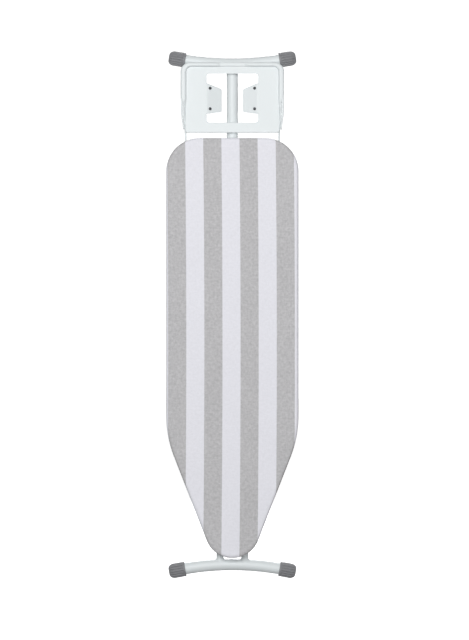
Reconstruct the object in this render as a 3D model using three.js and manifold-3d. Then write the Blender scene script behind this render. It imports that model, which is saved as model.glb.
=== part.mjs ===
// Folding ironing board, folded flat for storage: a padded and cloth-covered board on a
// steel frame, an iron-rest tray on two wires at its tail, and a crossed pair of legs.
//
// Every piece is laid out in the board's own directions, in millimetres: x runs across the
// board, y from the nose to the tail, and z from the folded legs up to the ironing surface.
// The last lines turn the whole model so that it stands on its nose feet, tail up, with the
// ironing surface facing -Y.

import * as THREE from 'three';
import { mergeVertices } from 'three/addons/utils/BufferGeometryUtils.js';
import Module from 'manifold-3d';

const wasm = await Module();
wasm.setup();

// ---------------------------------------------------------------- driving dimensions

const GAP = 0.3; // running or resting gap between two pieces

// Board outline, over the cover
const HALF_WIDTH = 196.5;
const TAIL_Y = 522.5;
const BEND_Y = -365; // where the straight sides turn in towards the nose
const TAPER = THREE.MathUtils.degToRad(21.3); // of the nose sides, from the y axis
const TAIL_CORNER_R = 99;
const BEND_R = 330;
const NOSE_R = 82.4;

// Board layers, heights in z
const COVER_TOP = 69.5;
const CLOTH = 1.5;
const PAD_TOP = COVER_TOP - CLOTH - GAP;
const PAD_BOTTOM = 62.1;
const PANEL_TOP = PAD_BOTTOM - GAP;
const PANEL_BOTTOM = 61;
const RIM_Z = 53.2;
const RIM_R = 7.5;
const RIM_WALL = 1.2;
const HEM_BOTTOM = 44.2;
const HEM_THICKNESS = 1.2;
const HEM_WIDTH = 36;
const RIM_INSET = CLOTH + GAP + RIM_R + 0.1;
const RIM_TAIL_END_Y = 300;
const RIM_NOSE_END_Y = -560;

// Cross braces under the panel
const BRACE_TOP = PANEL_BOTTOM - GAP;
const BRACE_BOTTOM = 54.4;
const BRACE_WIDTH = 30;
const BRACE_SHEET = 1.5; // each brace is a shallow channel, open downwards
const BRACE_Y = { tail: 440, middle: -92, nose: -490 };
const UNDER_BRACE = BRACE_BOTTOM - GAP;

// Legs
const LEG_Z = 22;
const TWIN_X = 37;
const TWIN_R = 10.5;
const TWIN_WALL = 1.2;
const SINGLE_R = 17;
const SINGLE_WALL = 1.2;
const BAR_R = 17;
const BAR_WALL = 1.5;
const LEG_PIVOT_Y = 440; // twin tubes on the board
const CROSS_Y = -4; // where the two legs cross
const CARRIAGE_Y = 2 * CROSS_Y - LEG_PIVOT_Y; // single tube on the carriage
const TUBE_PAST_PIN = 8;
const PIN_R = 4;
const HOLE_R = PIN_R + GAP;
const NOSE_BAR = { y: -746.5, bowRadius: 800, side: -1 };
const TAIL_BAR = { y: 745, bowRadius: 900, side: 1 };
const BAR_BEND_X = 140; // the bar is bowed inside this, straight outside it
const BAR_REACH = 42; // length of the straight end inside the cap
const CAP_R = 22;
const CAP_LENGTH = 50;
const CAP_DEPTH = BAR_REACH + GAP;

// Slide rail and carriage
const RAIL_HALF = 30;
const RAIL_WALL = 2;
const RAIL_BOTTOM = 41;
const RAIL_SLOT_HALF = 24.5;
const RAIL_Y = [-512, -68];
const EAR_BOTTOM = 11;
const CARRIAGE_LENGTH = 44;
const LOCK_PIN_Z = 37;
const LOCK_PIN_R = 2.5;
const LOCK_PIN_END_X = 54;

// Height lock: a notched rack on a shaft, turned by a lever
const SHAFT = { x: 78, z: 50, r: 4 };
const SHAFT_Y = [-502, -50];
const RACK_Y = [-470, -109];
const RACK_X = [50, 52.5];
const RACK_BOTTOM = 22;
const RACK_EDGE = 33.9; // the notched edge, just under the lock pin
const RACK_WINDOW_TOP = 46.5;
const NOTCH_WIDTH = 7.5;
const NOTCH_DEPTH = 4.5;
const LOCK_ANGLES = [0, 35, 37.5, 40, 42.5, 45, 47.5, 50]; // leg angles that have a notch
const HUB_R = 7.5;
const LEVER_Y = [-72, -54];
const LEVER_DROOP = THREE.MathUtils.degToRad(9);
const GRIP_X = [104, 156];

// Iron-rest tray
const TRAY_HALF = 153.5;
const TRAY_Y = [539, 747];
const TRAY_BOTTOM = 50;
const TRAY_SHEET = 1.5;
const LIP_TOP = 58;
const LIP_LOW_TOP = 53; // the lip dips at the middle of the tail side
const LIP_DIP_HALF = 40;
const LIP_SIDE = 15;
const LIP_TAIL = 10;
const TRAY_NECK_HALF = 139.5; // tray floor between the two wires
const LIP_END_Y = 633;
const WING_INNER = 147.6;
const WING_END_Y = 548;
const WINDOW_HALF = 76.5;
const WINDOW_Y = [568.7, 714];
const FLAP_TIP_X = 31.5;
const FLAP_ROOT_Y = [594, 687];
const FLAP_TIP_Y = [601, 669];
const FLAP_ANGLE = THREE.MathUtils.degToRad(18);
const STUD_X = 66;
const STUD_Y = [610, 671];
const STUD_R = 4.5;
const WIRE_R = 3;
const WIRE_X = [143.6, 139]; // at the tray, and under the board
const WIRE_Z = [55, 40.8];
const WIRE_HOOK_Y = 350;
const WIRE_HOOK = 15;
const GUIDE_Y = [410, 450];

// ---------------------------------------------------------------- finishes

const finish = (color, roughness, metalness) =>
  new THREE.MeshStandardMaterial({ color, roughness, metalness });

const WHITE_PAINT = () => finish(0xe4e9ec, 0.35, 0.1);
const FRAME_PAINT = () => finish(0xd9dee2, 0.4, 0.1);
const ZINC = () => finish(0xb9bcc0, 0.35, 0.9);
const GREY_PLASTIC = () => finish(0x707175, 0.6, 0);
const DARK_RUBBER = () => finish(0x3c3e42, 0.8, 0);
const FELT = () => finish(0xe8e6e0, 0.95, 0);
const STRIPED_COTTON = () => finish(0xcfcfd3, 0.9, 0);

// ---------------------------------------------------------------- solids and booleans

function toSolid(geometry) {
  const bare = geometry.clone();
  bare.deleteAttribute('normal');
  bare.deleteAttribute('uv');
  const merged = mergeVertices(bare, 1e-3);
  return new wasm.Manifold(new wasm.Mesh({
    numProp: 3,
    vertProperties: new Float32Array(merged.attributes.position.array),
    triVerts: new Uint32Array(merged.index.array),
  }));
}

function toGeometry(solid) {
  const mesh = solid.getMesh();
  const geometry = new THREE.BufferGeometry();
  geometry.setAttribute('position', new THREE.BufferAttribute(mesh.vertProperties, 3));
  geometry.setIndex(new THREE.BufferAttribute(mesh.triVerts, 1));
  return geometry;
}

function join(first, ...others) {
  const start = toSolid(first);
  return toGeometry(others.reduce((sum, other) => sum.add(toSolid(other)), start));
}

function cut(first, ...tools) {
  const start = toSolid(first);
  return toGeometry(tools.reduce((rest, tool) => rest.subtract(toSolid(tool)), start));
}

// ---------------------------------------------------------------- shape helpers

const model = new THREE.Group();

function add(name, geometry, material) {
  const mesh = new THREE.Mesh(geometry, material);
  mesh.name = name;
  model.add(mesh);
}

function block([x0, x1], [y0, y1], [z0, z1]) {
  const box = new THREE.BoxGeometry(x1 - x0, y1 - y0, z1 - z0);
  return box.translate((x0 + x1) / 2, (y0 + y1) / 2, (z0 + z1) / 2);
}

// A round section, hollow if it is given an inner radius
function ring(outer, inner = 0, sides = 16) {
  const circle = (radius) => Array.from({ length: sides }, (_, i) => {
    const angle = (2 * Math.PI * i) / sides;
    return new THREE.Vector2(radius * Math.cos(angle), radius * Math.sin(angle));
  });
  const shape = new THREE.Shape(circle(outer));
  if (inner > 0) shape.holes.push(new THREE.Path(circle(inner)));
  return shape;
}

function sweep(section, points, steps) {
  const path = new THREE.CurvePath();
  for (let i = 1; i < points.length; i += 1) {
    path.add(new THREE.LineCurve3(points[i - 1], points[i]));
  }
  return new THREE.ExtrudeGeometry(section, { steps, extrudePath: path });
}

const rod = (from, to, radius, sides = 16) => sweep(ring(radius, 0, sides), [from, to], 1);

const point = (x, y, z) => new THREE.Vector3(x, y, z);

// A flat piece between two heights
function plate(outline, [z0, z1], hole = null) {
  const shape = new THREE.Shape(outline);
  if (hole) shape.holes.push(new THREE.Path(hole));
  return new THREE.ExtrudeGeometry(shape, { depth: z1 - z0, bevelEnabled: false })
    .translate(0, 0, z0);
}

// A section drawn in x and z, with a length along y
function beam(outline, [y0, y1]) {
  const flipped = outline.map(([x, z]) => new THREE.Vector2(x, -z));
  return new THREE.ExtrudeGeometry(new THREE.Shape(flipped), {
    depth: y1 - y0,
    bevelEnabled: false,
  })
    .rotateX(-Math.PI / 2)
    .translate(0, y0, 0);
}

// A body of revolution about the line from a point along a direction
function turned(profile, start, direction, sides = 20) {
  const points = profile.map(([radius, along]) => new THREE.Vector2(radius, along));
  const turn = new THREE.Quaternion().setFromUnitVectors(point(0, 1, 0), direction);
  return new THREE.LatheGeometry(points, sides)
    .applyQuaternion(turn)
    .translate(start.x, start.y, start.z);
}

// A convex polygon with rounded corners: each corner is [x, y, radius]
function rounded(corners, stepAngle = Math.PI / 20) {
  const outline = [];
  corners.forEach(([x, y, radius], i) => {
    const corner = new THREE.Vector2(x, y);
    const [beforeX, beforeY] = corners.at(i - 1);
    const [afterX, afterY] = corners[(i + 1) % corners.length];
    const arriving = corner.clone().sub(new THREE.Vector2(beforeX, beforeY)).normalize();
    const leaving = new THREE.Vector2(afterX, afterY).sub(corner).normalize();
    if (radius === 0) {
      outline.push(corner);
      return;
    }
    const turn = Math.atan2(arriving.cross(leaving), arriving.dot(leaving));
    const hand = Math.sign(turn);
    const setBack = radius * Math.tan(Math.abs(turn) / 2);
    const start = corner.clone().addScaledVector(arriving, -setBack);
    const toCentre = new THREE.Vector2(-arriving.y, arriving.x).multiplyScalar(hand * radius);
    const centre = start.clone().add(toCentre);
    const steps = Math.ceil(Math.abs(turn) / stepAngle);
    for (let s = 0; s <= steps; s += 1) {
      outline.push(start.clone().rotateAround(centre, (turn * s) / steps));
    }
  });
  return outline;
}

const rectangle = ([x0, x1], [y0, y1], radius = 0) =>
  rounded([[x0, y0, radius], [x1, y0, radius], [x1, y1, radius], [x0, y1, radius]]);

// The board's outline, drawn in by an inset
function boardOutline(inset = 0) {
  const half = HALF_WIDTH - inset;
  const tail = TAIL_Y - inset;
  const bend = BEND_Y + inset * Math.tan(TAPER / 2);
  const nose = BEND_Y - HALF_WIDTH / Math.tan(TAPER) + inset / Math.sin(TAPER);
  return rounded([
    [0, nose, NOSE_R - inset],
    [half, bend, BEND_R - inset],
    [half, tail, TAIL_CORNER_R - inset],
    [-half, tail, TAIL_CORNER_R - inset],
    [-half, bend, BEND_R - inset],
  ]);
}

// ---------------------------------------------------------------- board: cover, pad, panel

function cottonCover() {
  const outside = boardOutline();
  const top = plate(outside, [COVER_TOP - CLOTH, COVER_TOP]);
  const skirt = plate(outside, [HEM_BOTTOM, COVER_TOP], boardOutline(CLOTH));
  const hemTop = HEM_BOTTOM + HEM_THICKNESS;
  const hem = plate(outside, [HEM_BOTTOM, hemTop], boardOutline(HEM_WIDTH));
  return join(top, skirt, hem);
}

add('cotton_cover', cottonCover(), STRIPED_COTTON());
const INSIDE_COVER = CLOTH + GAP;
add('felt_pad', plate(boardOutline(INSIDE_COVER), [PAD_BOTTOM, PAD_TOP]), FELT());
add('mesh_panel', plate(boardOutline(INSIDE_COVER), [PANEL_BOTTOM, PANEL_TOP]), FRAME_PAINT());

// ---------------------------------------------------------------- board: rim tube, braces

// The rim tube's centre line, cut at two heights into a bow at each end and two side rails
function rimStretches() {
  const line = boardOutline(RIM_INSET).map(({ x, y }) => point(x, y, RIM_Z));
  const half = HALF_WIDTH - RIM_INSET;
  const tailEnd = (side) => point(side * half, RIM_TAIL_END_Y, RIM_Z);
  const bend = BEND_Y + RIM_INSET * Math.tan(TAPER / 2);
  const noseEndX = half - (bend - RIM_NOSE_END_Y) * Math.tan(TAPER);
  const noseEnd = (side) => point(side * noseEndX, RIM_NOSE_END_Y, RIM_Z);
  const between = (low, high, side) =>
    line.filter(({ x, y }) => y > low && y < high && side * x > 0);
  const byHeight = (a, b) => a.y - b.y;
  const butt = point(0, GAP, 0);
  const tail = line.filter(({ y }) => y > RIM_TAIL_END_Y);
  const nose = line.filter(({ y }) => y < RIM_NOSE_END_Y).sort((a, b) => a.x - b.x);
  const side = (hand) => [
    noseEnd(hand).add(butt),
    ...between(RIM_NOSE_END_Y, RIM_TAIL_END_Y, hand).sort(byHeight),
    tailEnd(hand).sub(butt),
  ];
  return {
    rim_tail_bow: [tailEnd(1), ...tail, tailEnd(-1)],
    rim_nose_bow: [noseEnd(-1), ...nose, noseEnd(1)],
    rim_side_left: side(-1),
    rim_side_right: side(1),
  };
}

const RIM_STEPS = { rim_tail_bow: 26, rim_nose_bow: 18, rim_side_left: 10, rim_side_right: 10 };
const rimSection = ring(RIM_R, RIM_R - RIM_WALL, 8);
for (const [name, points] of Object.entries(rimStretches())) {
  add(name, sweep(rimSection, points, RIM_STEPS[name]), FRAME_PAINT());
}

// Half the clear width inside the rim tube at a given y
function insideRim(y) {
  const inset = RIM_INSET + RIM_R + GAP;
  const cornerY = TAIL_Y - TAIL_CORNER_R;
  const acrossCorner = Math.sqrt((TAIL_CORNER_R - inset) ** 2 - Math.max(0, y - cornerY) ** 2);
  const taper = Math.max(0, BEND_Y - y) * Math.tan(TAPER);
  return HALF_WIDTH - TAIL_CORNER_R + acrossCorner - taper;
}

for (const [name, y] of Object.entries(BRACE_Y)) {
  const along = [y - BRACE_WIDTH / 2, y + BRACE_WIDTH / 2];
  const half = Math.min(...along.map(insideRim)) - 1;
  const brace = block([-half, half], along, [BRACE_BOTTOM, BRACE_TOP]);
  const hollow = block(
    [-half - 1, half + 1],
    [along[0] + BRACE_SHEET, along[1] - BRACE_SHEET],
    [BRACE_BOTTOM - 1, BRACE_TOP - BRACE_SHEET],
  );
  add(`cross_brace_${name}`, cut(brace, hollow), FRAME_PAINT());
}

// ---------------------------------------------------------------- board: rail, leg bracket

function slideRail() {
  const top = UNDER_BRACE;
  const inner = RAIL_HALF - RAIL_WALL;
  const lipTop = RAIL_BOTTOM + RAIL_WALL;
  return beam([
    [-RAIL_HALF, RAIL_BOTTOM],
    [-RAIL_SLOT_HALF, RAIL_BOTTOM],
    [-RAIL_SLOT_HALF, lipTop],
    [-inner, lipTop],
    [-inner, top - RAIL_WALL],
    [inner, top - RAIL_WALL],
    [inner, lipTop],
    [RAIL_SLOT_HALF, lipTop],
    [RAIL_SLOT_HALF, RAIL_BOTTOM],
    [RAIL_HALF, RAIL_BOTTOM],
    [RAIL_HALF, top],
    [-RAIL_HALF, top],
  ], RAIL_Y);
}

add('slide_rail', slideRail(), FRAME_PAINT());

const STOP_LENGTH = 6;
for (const [name, y] of [['nose', RAIL_Y[0] - STOP_LENGTH - GAP], ['tail', RAIL_Y[1] + GAP]]) {
  const stop = block([-RAIL_HALF, RAIL_HALF], [y, y + STOP_LENGTH], [RAIL_BOTTOM, UNDER_BRACE]);
  add(`rail_stop_${name}`, stop, GREY_PLASTIC());
}

const EAR_INNER = [21, 23.5]; // between the single tube and a twin tube
const EAR_OUTER = [50.5, 53];
const BRACKET_PLATE = 2.3;
const BRACKET_HALF_LENGTH = 23;

function legHingeBracket() {
  const along = [LEG_PIVOT_Y - BRACKET_HALF_LENGTH, LEG_PIVOT_Y + BRACKET_HALF_LENGTH];
  const under = UNDER_BRACE - BRACKET_PLATE;
  const top = block([-EAR_OUTER[1], EAR_OUTER[1]], along, [under, UNDER_BRACE]);
  const ears = [EAR_INNER, EAR_OUTER].flatMap(([near, far]) => [
    block([near, far], along, [EAR_BOTTOM, under + 1]),
    block([-far, -near], along, [EAR_BOTTOM, under + 1]),
  ]);
  const reach = EAR_OUTER[1] + 1;
  const bore = rod(
    point(-reach, LEG_PIVOT_Y, LEG_Z),
    point(reach, LEG_PIVOT_Y, LEG_Z),
    HOLE_R,
  );
  return cut(join(top, ...ears), bore);
}

add('leg_hinge_bracket', legHingeBracket(), ZINC());

// A headed pin across x: its head is on the outer side
function hingePin(side) {
  const start = point(side * (EAR_INNER[0] - 1), LEG_PIVOT_Y, LEG_Z);
  const length = EAR_OUTER[1] + GAP - (EAR_INNER[0] - 1);
  const profile = [[0, 0], [PIN_R, 0], [PIN_R, length], [7, length], [7, length + 2], [0, length + 2]];
  return turned(profile, start, point(side, 0, 0), 16);
}

add('hinge_pin_left', hingePin(-1), ZINC());
add('hinge_pin_right', hingePin(1), ZINC());

// An open spring clip that the single tube presses up into when the legs are folded
const CLIP_Y = [235, 265];
const CLIP_INNER = SINGLE_R + 0.8;
const CLIP_WALL = 2.5;
const CLIP_BOTTOM = 24;
const clipOuter = CLIP_INNER + CLIP_WALL;
add('storage_clip', beam([
  [-clipOuter, CLIP_BOTTOM],
  [-CLIP_INNER, CLIP_BOTTOM],
  [-CLIP_INNER, BRACE_TOP - CLIP_WALL],
  [CLIP_INNER, BRACE_TOP - CLIP_WALL],
  [CLIP_INNER, CLIP_BOTTOM],
  [clipOuter, CLIP_BOTTOM],
  [clipOuter, BRACE_TOP],
  [-clipOuter, BRACE_TOP],
], CLIP_Y), GREY_PLASTIC());

// ---------------------------------------------------------------- legs

// Centre line of a foot bar: bowed in the middle, with straight ends
function barLine({ y, bowRadius, side }) {
  const bendAngle = Math.asin(BAR_BEND_X / bowRadius);
  const steps = 8;
  const bow = Array.from({ length: steps + 1 }, (_, i) => {
    const angle = bendAngle * ((2 * i) / steps - 1);
    const sag = bowRadius * (1 - Math.cos(angle));
    return point(bowRadius * Math.sin(angle), y + side * sag, LEG_Z);
  });
  const outward = point(Math.cos(bendAngle), side * Math.sin(bendAngle), 0);
  const right = bow.at(-1).clone().addScaledVector(outward, BAR_REACH);
  const left = right.clone().setX(-right.x);
  return { points: [left, ...bow, right], outward };
}

const BAR_STEPS = 12;

const footBar = (bar) => sweep(ring(BAR_R, BAR_R - BAR_WALL), barLine(bar).points, BAR_STEPS);

// What a leg tube has to be cut back by, to meet the foot bar
const barCutter = (bar) => sweep(ring(BAR_R + GAP), barLine(bar).points, BAR_STEPS);

// A cup over the bar's end, with a collar at its mouth and a domed end
function footCap(bar, hand) {
  const { points, outward } = barLine(bar);
  const direction = outward.clone();
  direction.x *= hand;
  const tip = points.at(-1).clone();
  tip.x *= hand;
  const mouth = tip.addScaledVector(direction, GAP - CAP_DEPTH);
  const body = CAP_R - 0.7;
  const domeStart = CAP_LENGTH - 12;
  const dome = [1, 2, 3].map((i) => {
    const angle = (Math.PI / 2) * (i / 3);
    return [body - 12 * (1 - Math.cos(angle)), domeStart + 12 * Math.sin(angle)];
  });
  const profile = [
    [BAR_R + GAP, 0],
    [CAP_R, 0],
    [CAP_R, 6],
    [body, 7],
    [body, domeStart],
    ...dome,
    [0, CAP_LENGTH],
    [0, CAP_DEPTH],
    [BAR_R + GAP, CAP_DEPTH],
    [BAR_R + GAP, 0],
  ];
  return turned(profile, mouth, direction, 16);
}

function legTube(x, y0, y1, radius, wall, tools) {
  const section = ring(radius, radius - wall);
  const tube = sweep(section, [point(x, y0, LEG_Z), point(x, y1, LEG_Z)], 1);
  return cut(tube, ...tools);
}

const boreAt = (y) => rod(point(-60, y, LEG_Z), point(60, y, LEG_Z), HOLE_R);

const sides = { left: -1, right: 1 };
const twinTop = LEG_PIVOT_Y + TUBE_PAST_PIN;
for (const [name, hand] of Object.entries(sides)) {
  const tools = [boreAt(LEG_PIVOT_Y), boreAt(CROSS_Y), barCutter(NOSE_BAR)];
  const tube = legTube(hand * TWIN_X, NOSE_BAR.y, twinTop, TWIN_R, TWIN_WALL, tools);
  add(`outer_tube_${name}`, tube, WHITE_PAINT());
  add(`outer_foot_cap_${name}`, footCap(NOSE_BAR, hand), GREY_PLASTIC());
  add(`inner_foot_cap_${name}`, footCap(TAIL_BAR, hand), GREY_PLASTIC());
}
add('outer_foot_bar', footBar(NOSE_BAR), WHITE_PAINT());
add('inner_foot_bar', footBar(TAIL_BAR), WHITE_PAINT());

const singleTop = CARRIAGE_Y - TUBE_PAST_PIN;
const singleTools = [boreAt(CARRIAGE_Y), boreAt(CROSS_Y), barCutter(TAIL_BAR)];
const singleTube = legTube(0, singleTop, TAIL_BAR.y, SINGLE_R, SINGLE_WALL, singleTools);
add('inner_tube', singleTube, WHITE_PAINT());

// Plastic plug in the open end of a tube, short of the pin
function tubePlug(radius, wall) {
  const shank = radius - wall - GAP;
  const flange = radius - 0.5;
  return [[0, -2.5], [shank, -2.5], [shank, GAP], [flange, GAP], [flange, 1.8], [0, 1.8]];
}

for (const [name, hand] of Object.entries(sides)) {
  const start = point(hand * TWIN_X, twinTop, LEG_Z);
  const plug = turned(tubePlug(TWIN_R, TWIN_WALL), start, point(0, 1, 0), 16);
  add(`outer_tube_plug_${name}`, plug, GREY_PLASTIC());
}
const singleStart = point(0, singleTop, LEG_Z);
const singlePlug = turned(tubePlug(SINGLE_R, SINGLE_WALL), singleStart, point(0, -1, 0), 20);
add('inner_tube_plug', singlePlug, GREY_PLASTIC());

// The bolt that joins the legs where they cross, with its nut and spacers
const boltReach = TWIN_X + TWIN_R + GAP;
const HEAD_R = 7;
const HEAD_LENGTH = 4;
const crossBolt = turned([
  [0, -boltReach - HEAD_LENGTH],
  [HEAD_R, -boltReach - HEAD_LENGTH],
  [HEAD_R, -boltReach],
  [PIN_R, -boltReach],
  [PIN_R, boltReach + 2],
  [0, boltReach + 2],
], point(0, CROSS_Y, LEG_Z), point(1, 0, 0), 12);
add('cross_bolt', crossBolt, ZINC());
const crossNut = turned([
  [HOLE_R, 0],
  [HEAD_R, 0],
  [HEAD_R, 5],
  [0, 6],
  [0, 3],
  [HOLE_R, 3],
  [HOLE_R, 0],
], point(boltReach, CROSS_Y, LEG_Z), point(1, 0, 0), 12);
add('cross_nut', crossNut, ZINC());
for (const [name, hand] of Object.entries(sides)) {
  const length = TWIN_X - TWIN_R - SINGLE_R - 2 * GAP;
  const profile = [[HOLE_R, 0], [8, 0], [8, length], [HOLE_R, length], [HOLE_R, 0]];
  const start = point(hand * (SINGLE_R + GAP), CROSS_Y, LEG_Z);
  add(`cross_spacer_${name}`, turned(profile, start, point(hand, 0, 0), 16), GREY_PLASTIC());
}

// ---------------------------------------------------------------- carriage

const BLOCK_HALF = RAIL_HALF - RAIL_WALL - 0.5;
const BLOCK_Z = [RAIL_BOTTOM + RAIL_WALL + 0.4, UNDER_BRACE - RAIL_WALL - 0.4];
const FORK = [18.5, 21.5];

function carriageBlock() {
  const along = [CARRIAGE_Y - CARRIAGE_LENGTH / 2, CARRIAGE_Y + CARRIAGE_LENGTH / 2];
  const slab = block([-BLOCK_HALF, BLOCK_HALF], along, BLOCK_Z);
  const earAlong = [CARRIAGE_Y - 13, CARRIAGE_Y + 13];
  const ears = [FORK, [-FORK[1], -FORK[0]]].map((x) =>
    block(x, earAlong, [EAR_BOTTOM, BLOCK_Z[0] + 1]));
  return cut(join(slab, ...ears), boreAt(CARRIAGE_Y));
}

add('carriage_block', carriageBlock(), GREY_PLASTIC());
const carriagePin = turned([
  [0, -FORK[1] - GAP - 1.6],
  [6, -FORK[1] - GAP - 1.6],
  [6, -FORK[1] - GAP],
  [PIN_R, -FORK[1] - GAP],
  [PIN_R, FORK[1] + 2],
  [0, FORK[1] + 2],
], point(0, CARRIAGE_Y, LEG_Z), point(1, 0, 0), 16);
add('carriage_pin', carriagePin, ZINC());
const lockPinStart = point(FORK[1] + GAP, CARRIAGE_Y, LOCK_PIN_Z);
const lockPinEnd = point(LOCK_PIN_END_X, CARRIAGE_Y, LOCK_PIN_Z);
add('lock_pin', rod(lockPinStart, lockPinEnd, LOCK_PIN_R, 12), ZINC());

// ---------------------------------------------------------------- height lock

const shaftHole = rod(
  point(SHAFT.x, SHAFT_Y[0] - 10, SHAFT.z),
  point(SHAFT.x, SHAFT_Y[1] + 10, SHAFT.z),
  SHAFT.r + GAP,
);
const hub = ([y0, y1]) => rod(point(SHAFT.x, y0, SHAFT.z), point(SHAFT.x, y1, SHAFT.z), HUB_R);

// Where the lock pin stands along the rail when the legs are open by an angle
function lockPinY(degrees) {
  const span = LEG_PIVOT_Y - CARRIAGE_Y;
  return LEG_PIVOT_Y - span * Math.cos(THREE.MathUtils.degToRad(degrees));
}

function lockRack() {
  const flangeZ = [SHAFT.z - 1, SHAFT.z + 1];
  const strip = block(RACK_X, RACK_Y, [RACK_BOTTOM, flangeZ[1]]);
  const flange = block([RACK_X[0], SHAFT.x - HUB_R + 1], RACK_Y, flangeZ);
  const hubs = [[RACK_Y[0], RACK_Y[0] + 20], [RACK_Y[1] - 20, RACK_Y[1]]].map(hub);
  const through = [RACK_X[0] - 1, RACK_X[1] + 1];
  const window = block(through, [RACK_Y[0] + 8, RACK_Y[1] - 8], [RACK_EDGE, RACK_WINDOW_TOP]);
  const notches = LOCK_ANGLES.map((degrees) => {
    const y = lockPinY(degrees);
    const width = [y - NOTCH_WIDTH / 2, y + NOTCH_WIDTH / 2];
    return block(through, width, [RACK_EDGE - NOTCH_DEPTH, RACK_EDGE + 1]);
  });
  return cut(join(strip, flange, ...hubs), window, ...notches, shaftHole);
}

add('lock_rack', lockRack(), ZINC());
add('lock_shaft', rod(
  point(SHAFT.x, SHAFT_Y[0], SHAFT.z),
  point(SHAFT.x, SHAFT_Y[1], SHAFT.z),
  SHAFT.r,
), ZINC());

// Lever parts are drawn level with the shaft, then let droop about it
function droop(geometry) {
  return geometry
    .translate(-SHAFT.x, 0, -SHAFT.z)
    .rotateY(LEVER_DROOP)
    .translate(SHAFT.x, 0, SHAFT.z);
}

const ARM_END_X = GRIP_X[1] - 6;
const ARM_HALF = 1.5;
const armBar = (grow) => block(
  [SHAFT.x + HUB_R - 1, ARM_END_X + grow],
  [LEVER_Y[0] + 2 - grow, LEVER_Y[1] - 2 + grow],
  [SHAFT.z - ARM_HALF - grow, SHAFT.z + ARM_HALF + grow],
);
add('lever_arm', droop(cut(join(hub(LEVER_Y), armBar(0)), shaftHole)), ZINC());
const gripOutline = rectangle(GRIP_X, [LEVER_Y[0] - 2, LEVER_Y[1] + 2], 8);
const gripBody = plate(gripOutline, [SHAFT.z - 5, SHAFT.z + 5]);
add('lever_grip', droop(cut(gripBody, armBar(GAP))), GREY_PLASTIC());

for (const [name, y] of [['nose', BRACE_Y.nose], ['tail', BRACE_Y.middle]]) {
  const bearing = block(
    [SHAFT.x - 8, SHAFT.x + 8],
    [y - 6, y + 6],
    [SHAFT.z - 8, UNDER_BRACE],
  );
  add(`lock_bearing_${name}`, cut(bearing, shaftHole), GREY_PLASTIC());
}
const springProfile = [[4.6, 0], [6.4, 0], [6.4, 24], [4.6, 24], [4.6, 0]];
const springStart = point(SHAFT.x, RACK_Y[1] - 52, SHAFT.z);
add('lock_spring', turned(springProfile, springStart, point(0, 1, 0), 16), ZINC());

// ---------------------------------------------------------------- iron-rest tray

function trayFloor() {
  const near = TRAY_Y[0];
  const far = TRAY_Y[1] - LIP_TAIL + 1;
  const outline = rounded([
    [-TRAY_NECK_HALF, near, 6],
    [TRAY_NECK_HALF, near, 6],
    [TRAY_NECK_HALF, far, 16],
    [-TRAY_NECK_HALF, far, 16],
  ]);
  const window = rectangle([-WINDOW_HALF, WINDOW_HALF], WINDOW_Y, 9);
  return plate(outline, [TRAY_BOTTOM, TRAY_BOTTOM + TRAY_SHEET], window);
}

// The band that the lip covers along both sides and the tail, drawn in by an inset
function lipBand(inset) {
  const outer = TRAY_HALF - inset;
  const inner = TRAY_HALF - LIP_SIDE + inset;
  const end = LIP_END_Y + inset;
  const far = TRAY_Y[1] - inset;
  const near = TRAY_Y[1] - LIP_TAIL + inset;
  return rounded([
    [inner, end, 0],
    [outer, end, 0],
    [outer, far, 27 - inset],
    [-outer, far, 27 - inset],
    [-outer, end, 0],
    [-inner, end, 0],
    [-inner, near, 16 + inset],
    [inner, near, 16 + inset],
  ]);
}

// The raised edge, pressed up from below, so it is hollow and open underneath
function trayLip() {
  const far = TRAY_Y[1];
  const dip = (top) => block(
    [-LIP_DIP_HALF, LIP_DIP_HALF],
    [far - LIP_TAIL - 1, far + 1],
    [top, LIP_TOP + 1],
  );
  const solid = cut(plate(lipBand(0), [TRAY_BOTTOM, LIP_TOP]), dip(LIP_LOW_TOP));
  const under = plate(lipBand(TRAY_SHEET), [TRAY_BOTTOM - 1, LIP_TOP - TRAY_SHEET]);
  return cut(solid, cut(under, dip(LIP_LOW_TOP - TRAY_SHEET)));
}

// The side wall that runs on beside each wire
function trayWing(hand) {
  const outline = rounded([
    [WING_INNER, WING_END_Y, 0],
    [WING_INNER + 1.5, WING_END_Y, 0],
    [TRAY_HALF, WING_END_Y + 27, 0],
    [TRAY_HALF, LIP_END_Y + 1, 0],
    [WING_INNER, LIP_END_Y + 1, 0],
  ]);
  const wing = plate(outline, [TRAY_BOTTOM - 3, LIP_TOP]);
  return hand > 0 ? wing : wing.rotateY(Math.PI).translate(0, 0, TRAY_BOTTOM - 3 + LIP_TOP);
}

// Turns a piece drawn level on the tray's right side down about the window's edge
function onFlap(geometry, hand) {
  const tilted = geometry
    .translate(-WINDOW_HALF, 0, -TRAY_BOTTOM)
    .rotateY(-FLAP_ANGLE)
    .translate(WINDOW_HALF, 0, TRAY_BOTTOM);
  return hand > 0 ? tilted : toGeometry(toSolid(tilted).mirror([1, 0, 0]));
}

function trayFlap(hand) {
  const reach = (WINDOW_HALF - FLAP_TIP_X) / Math.cos(FLAP_ANGLE);
  const tip = WINDOW_HALF - reach;
  const outline = [
    new THREE.Vector2(WINDOW_HALF + 1, FLAP_ROOT_Y[0]),
    new THREE.Vector2(WINDOW_HALF + 1, FLAP_ROOT_Y[1]),
    new THREE.Vector2(tip, FLAP_TIP_Y[1]),
    new THREE.Vector2(tip, FLAP_TIP_Y[0]),
  ];
  return onFlap(plate(outline, [TRAY_BOTTOM, TRAY_BOTTOM + TRAY_SHEET]), hand);
}

const trayParts = [-1, 1].flatMap((hand) => [trayWing(hand), trayFlap(hand)]);
add('iron_tray', join(trayFloor(), trayLip(), ...trayParts), WHITE_PAINT());

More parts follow.
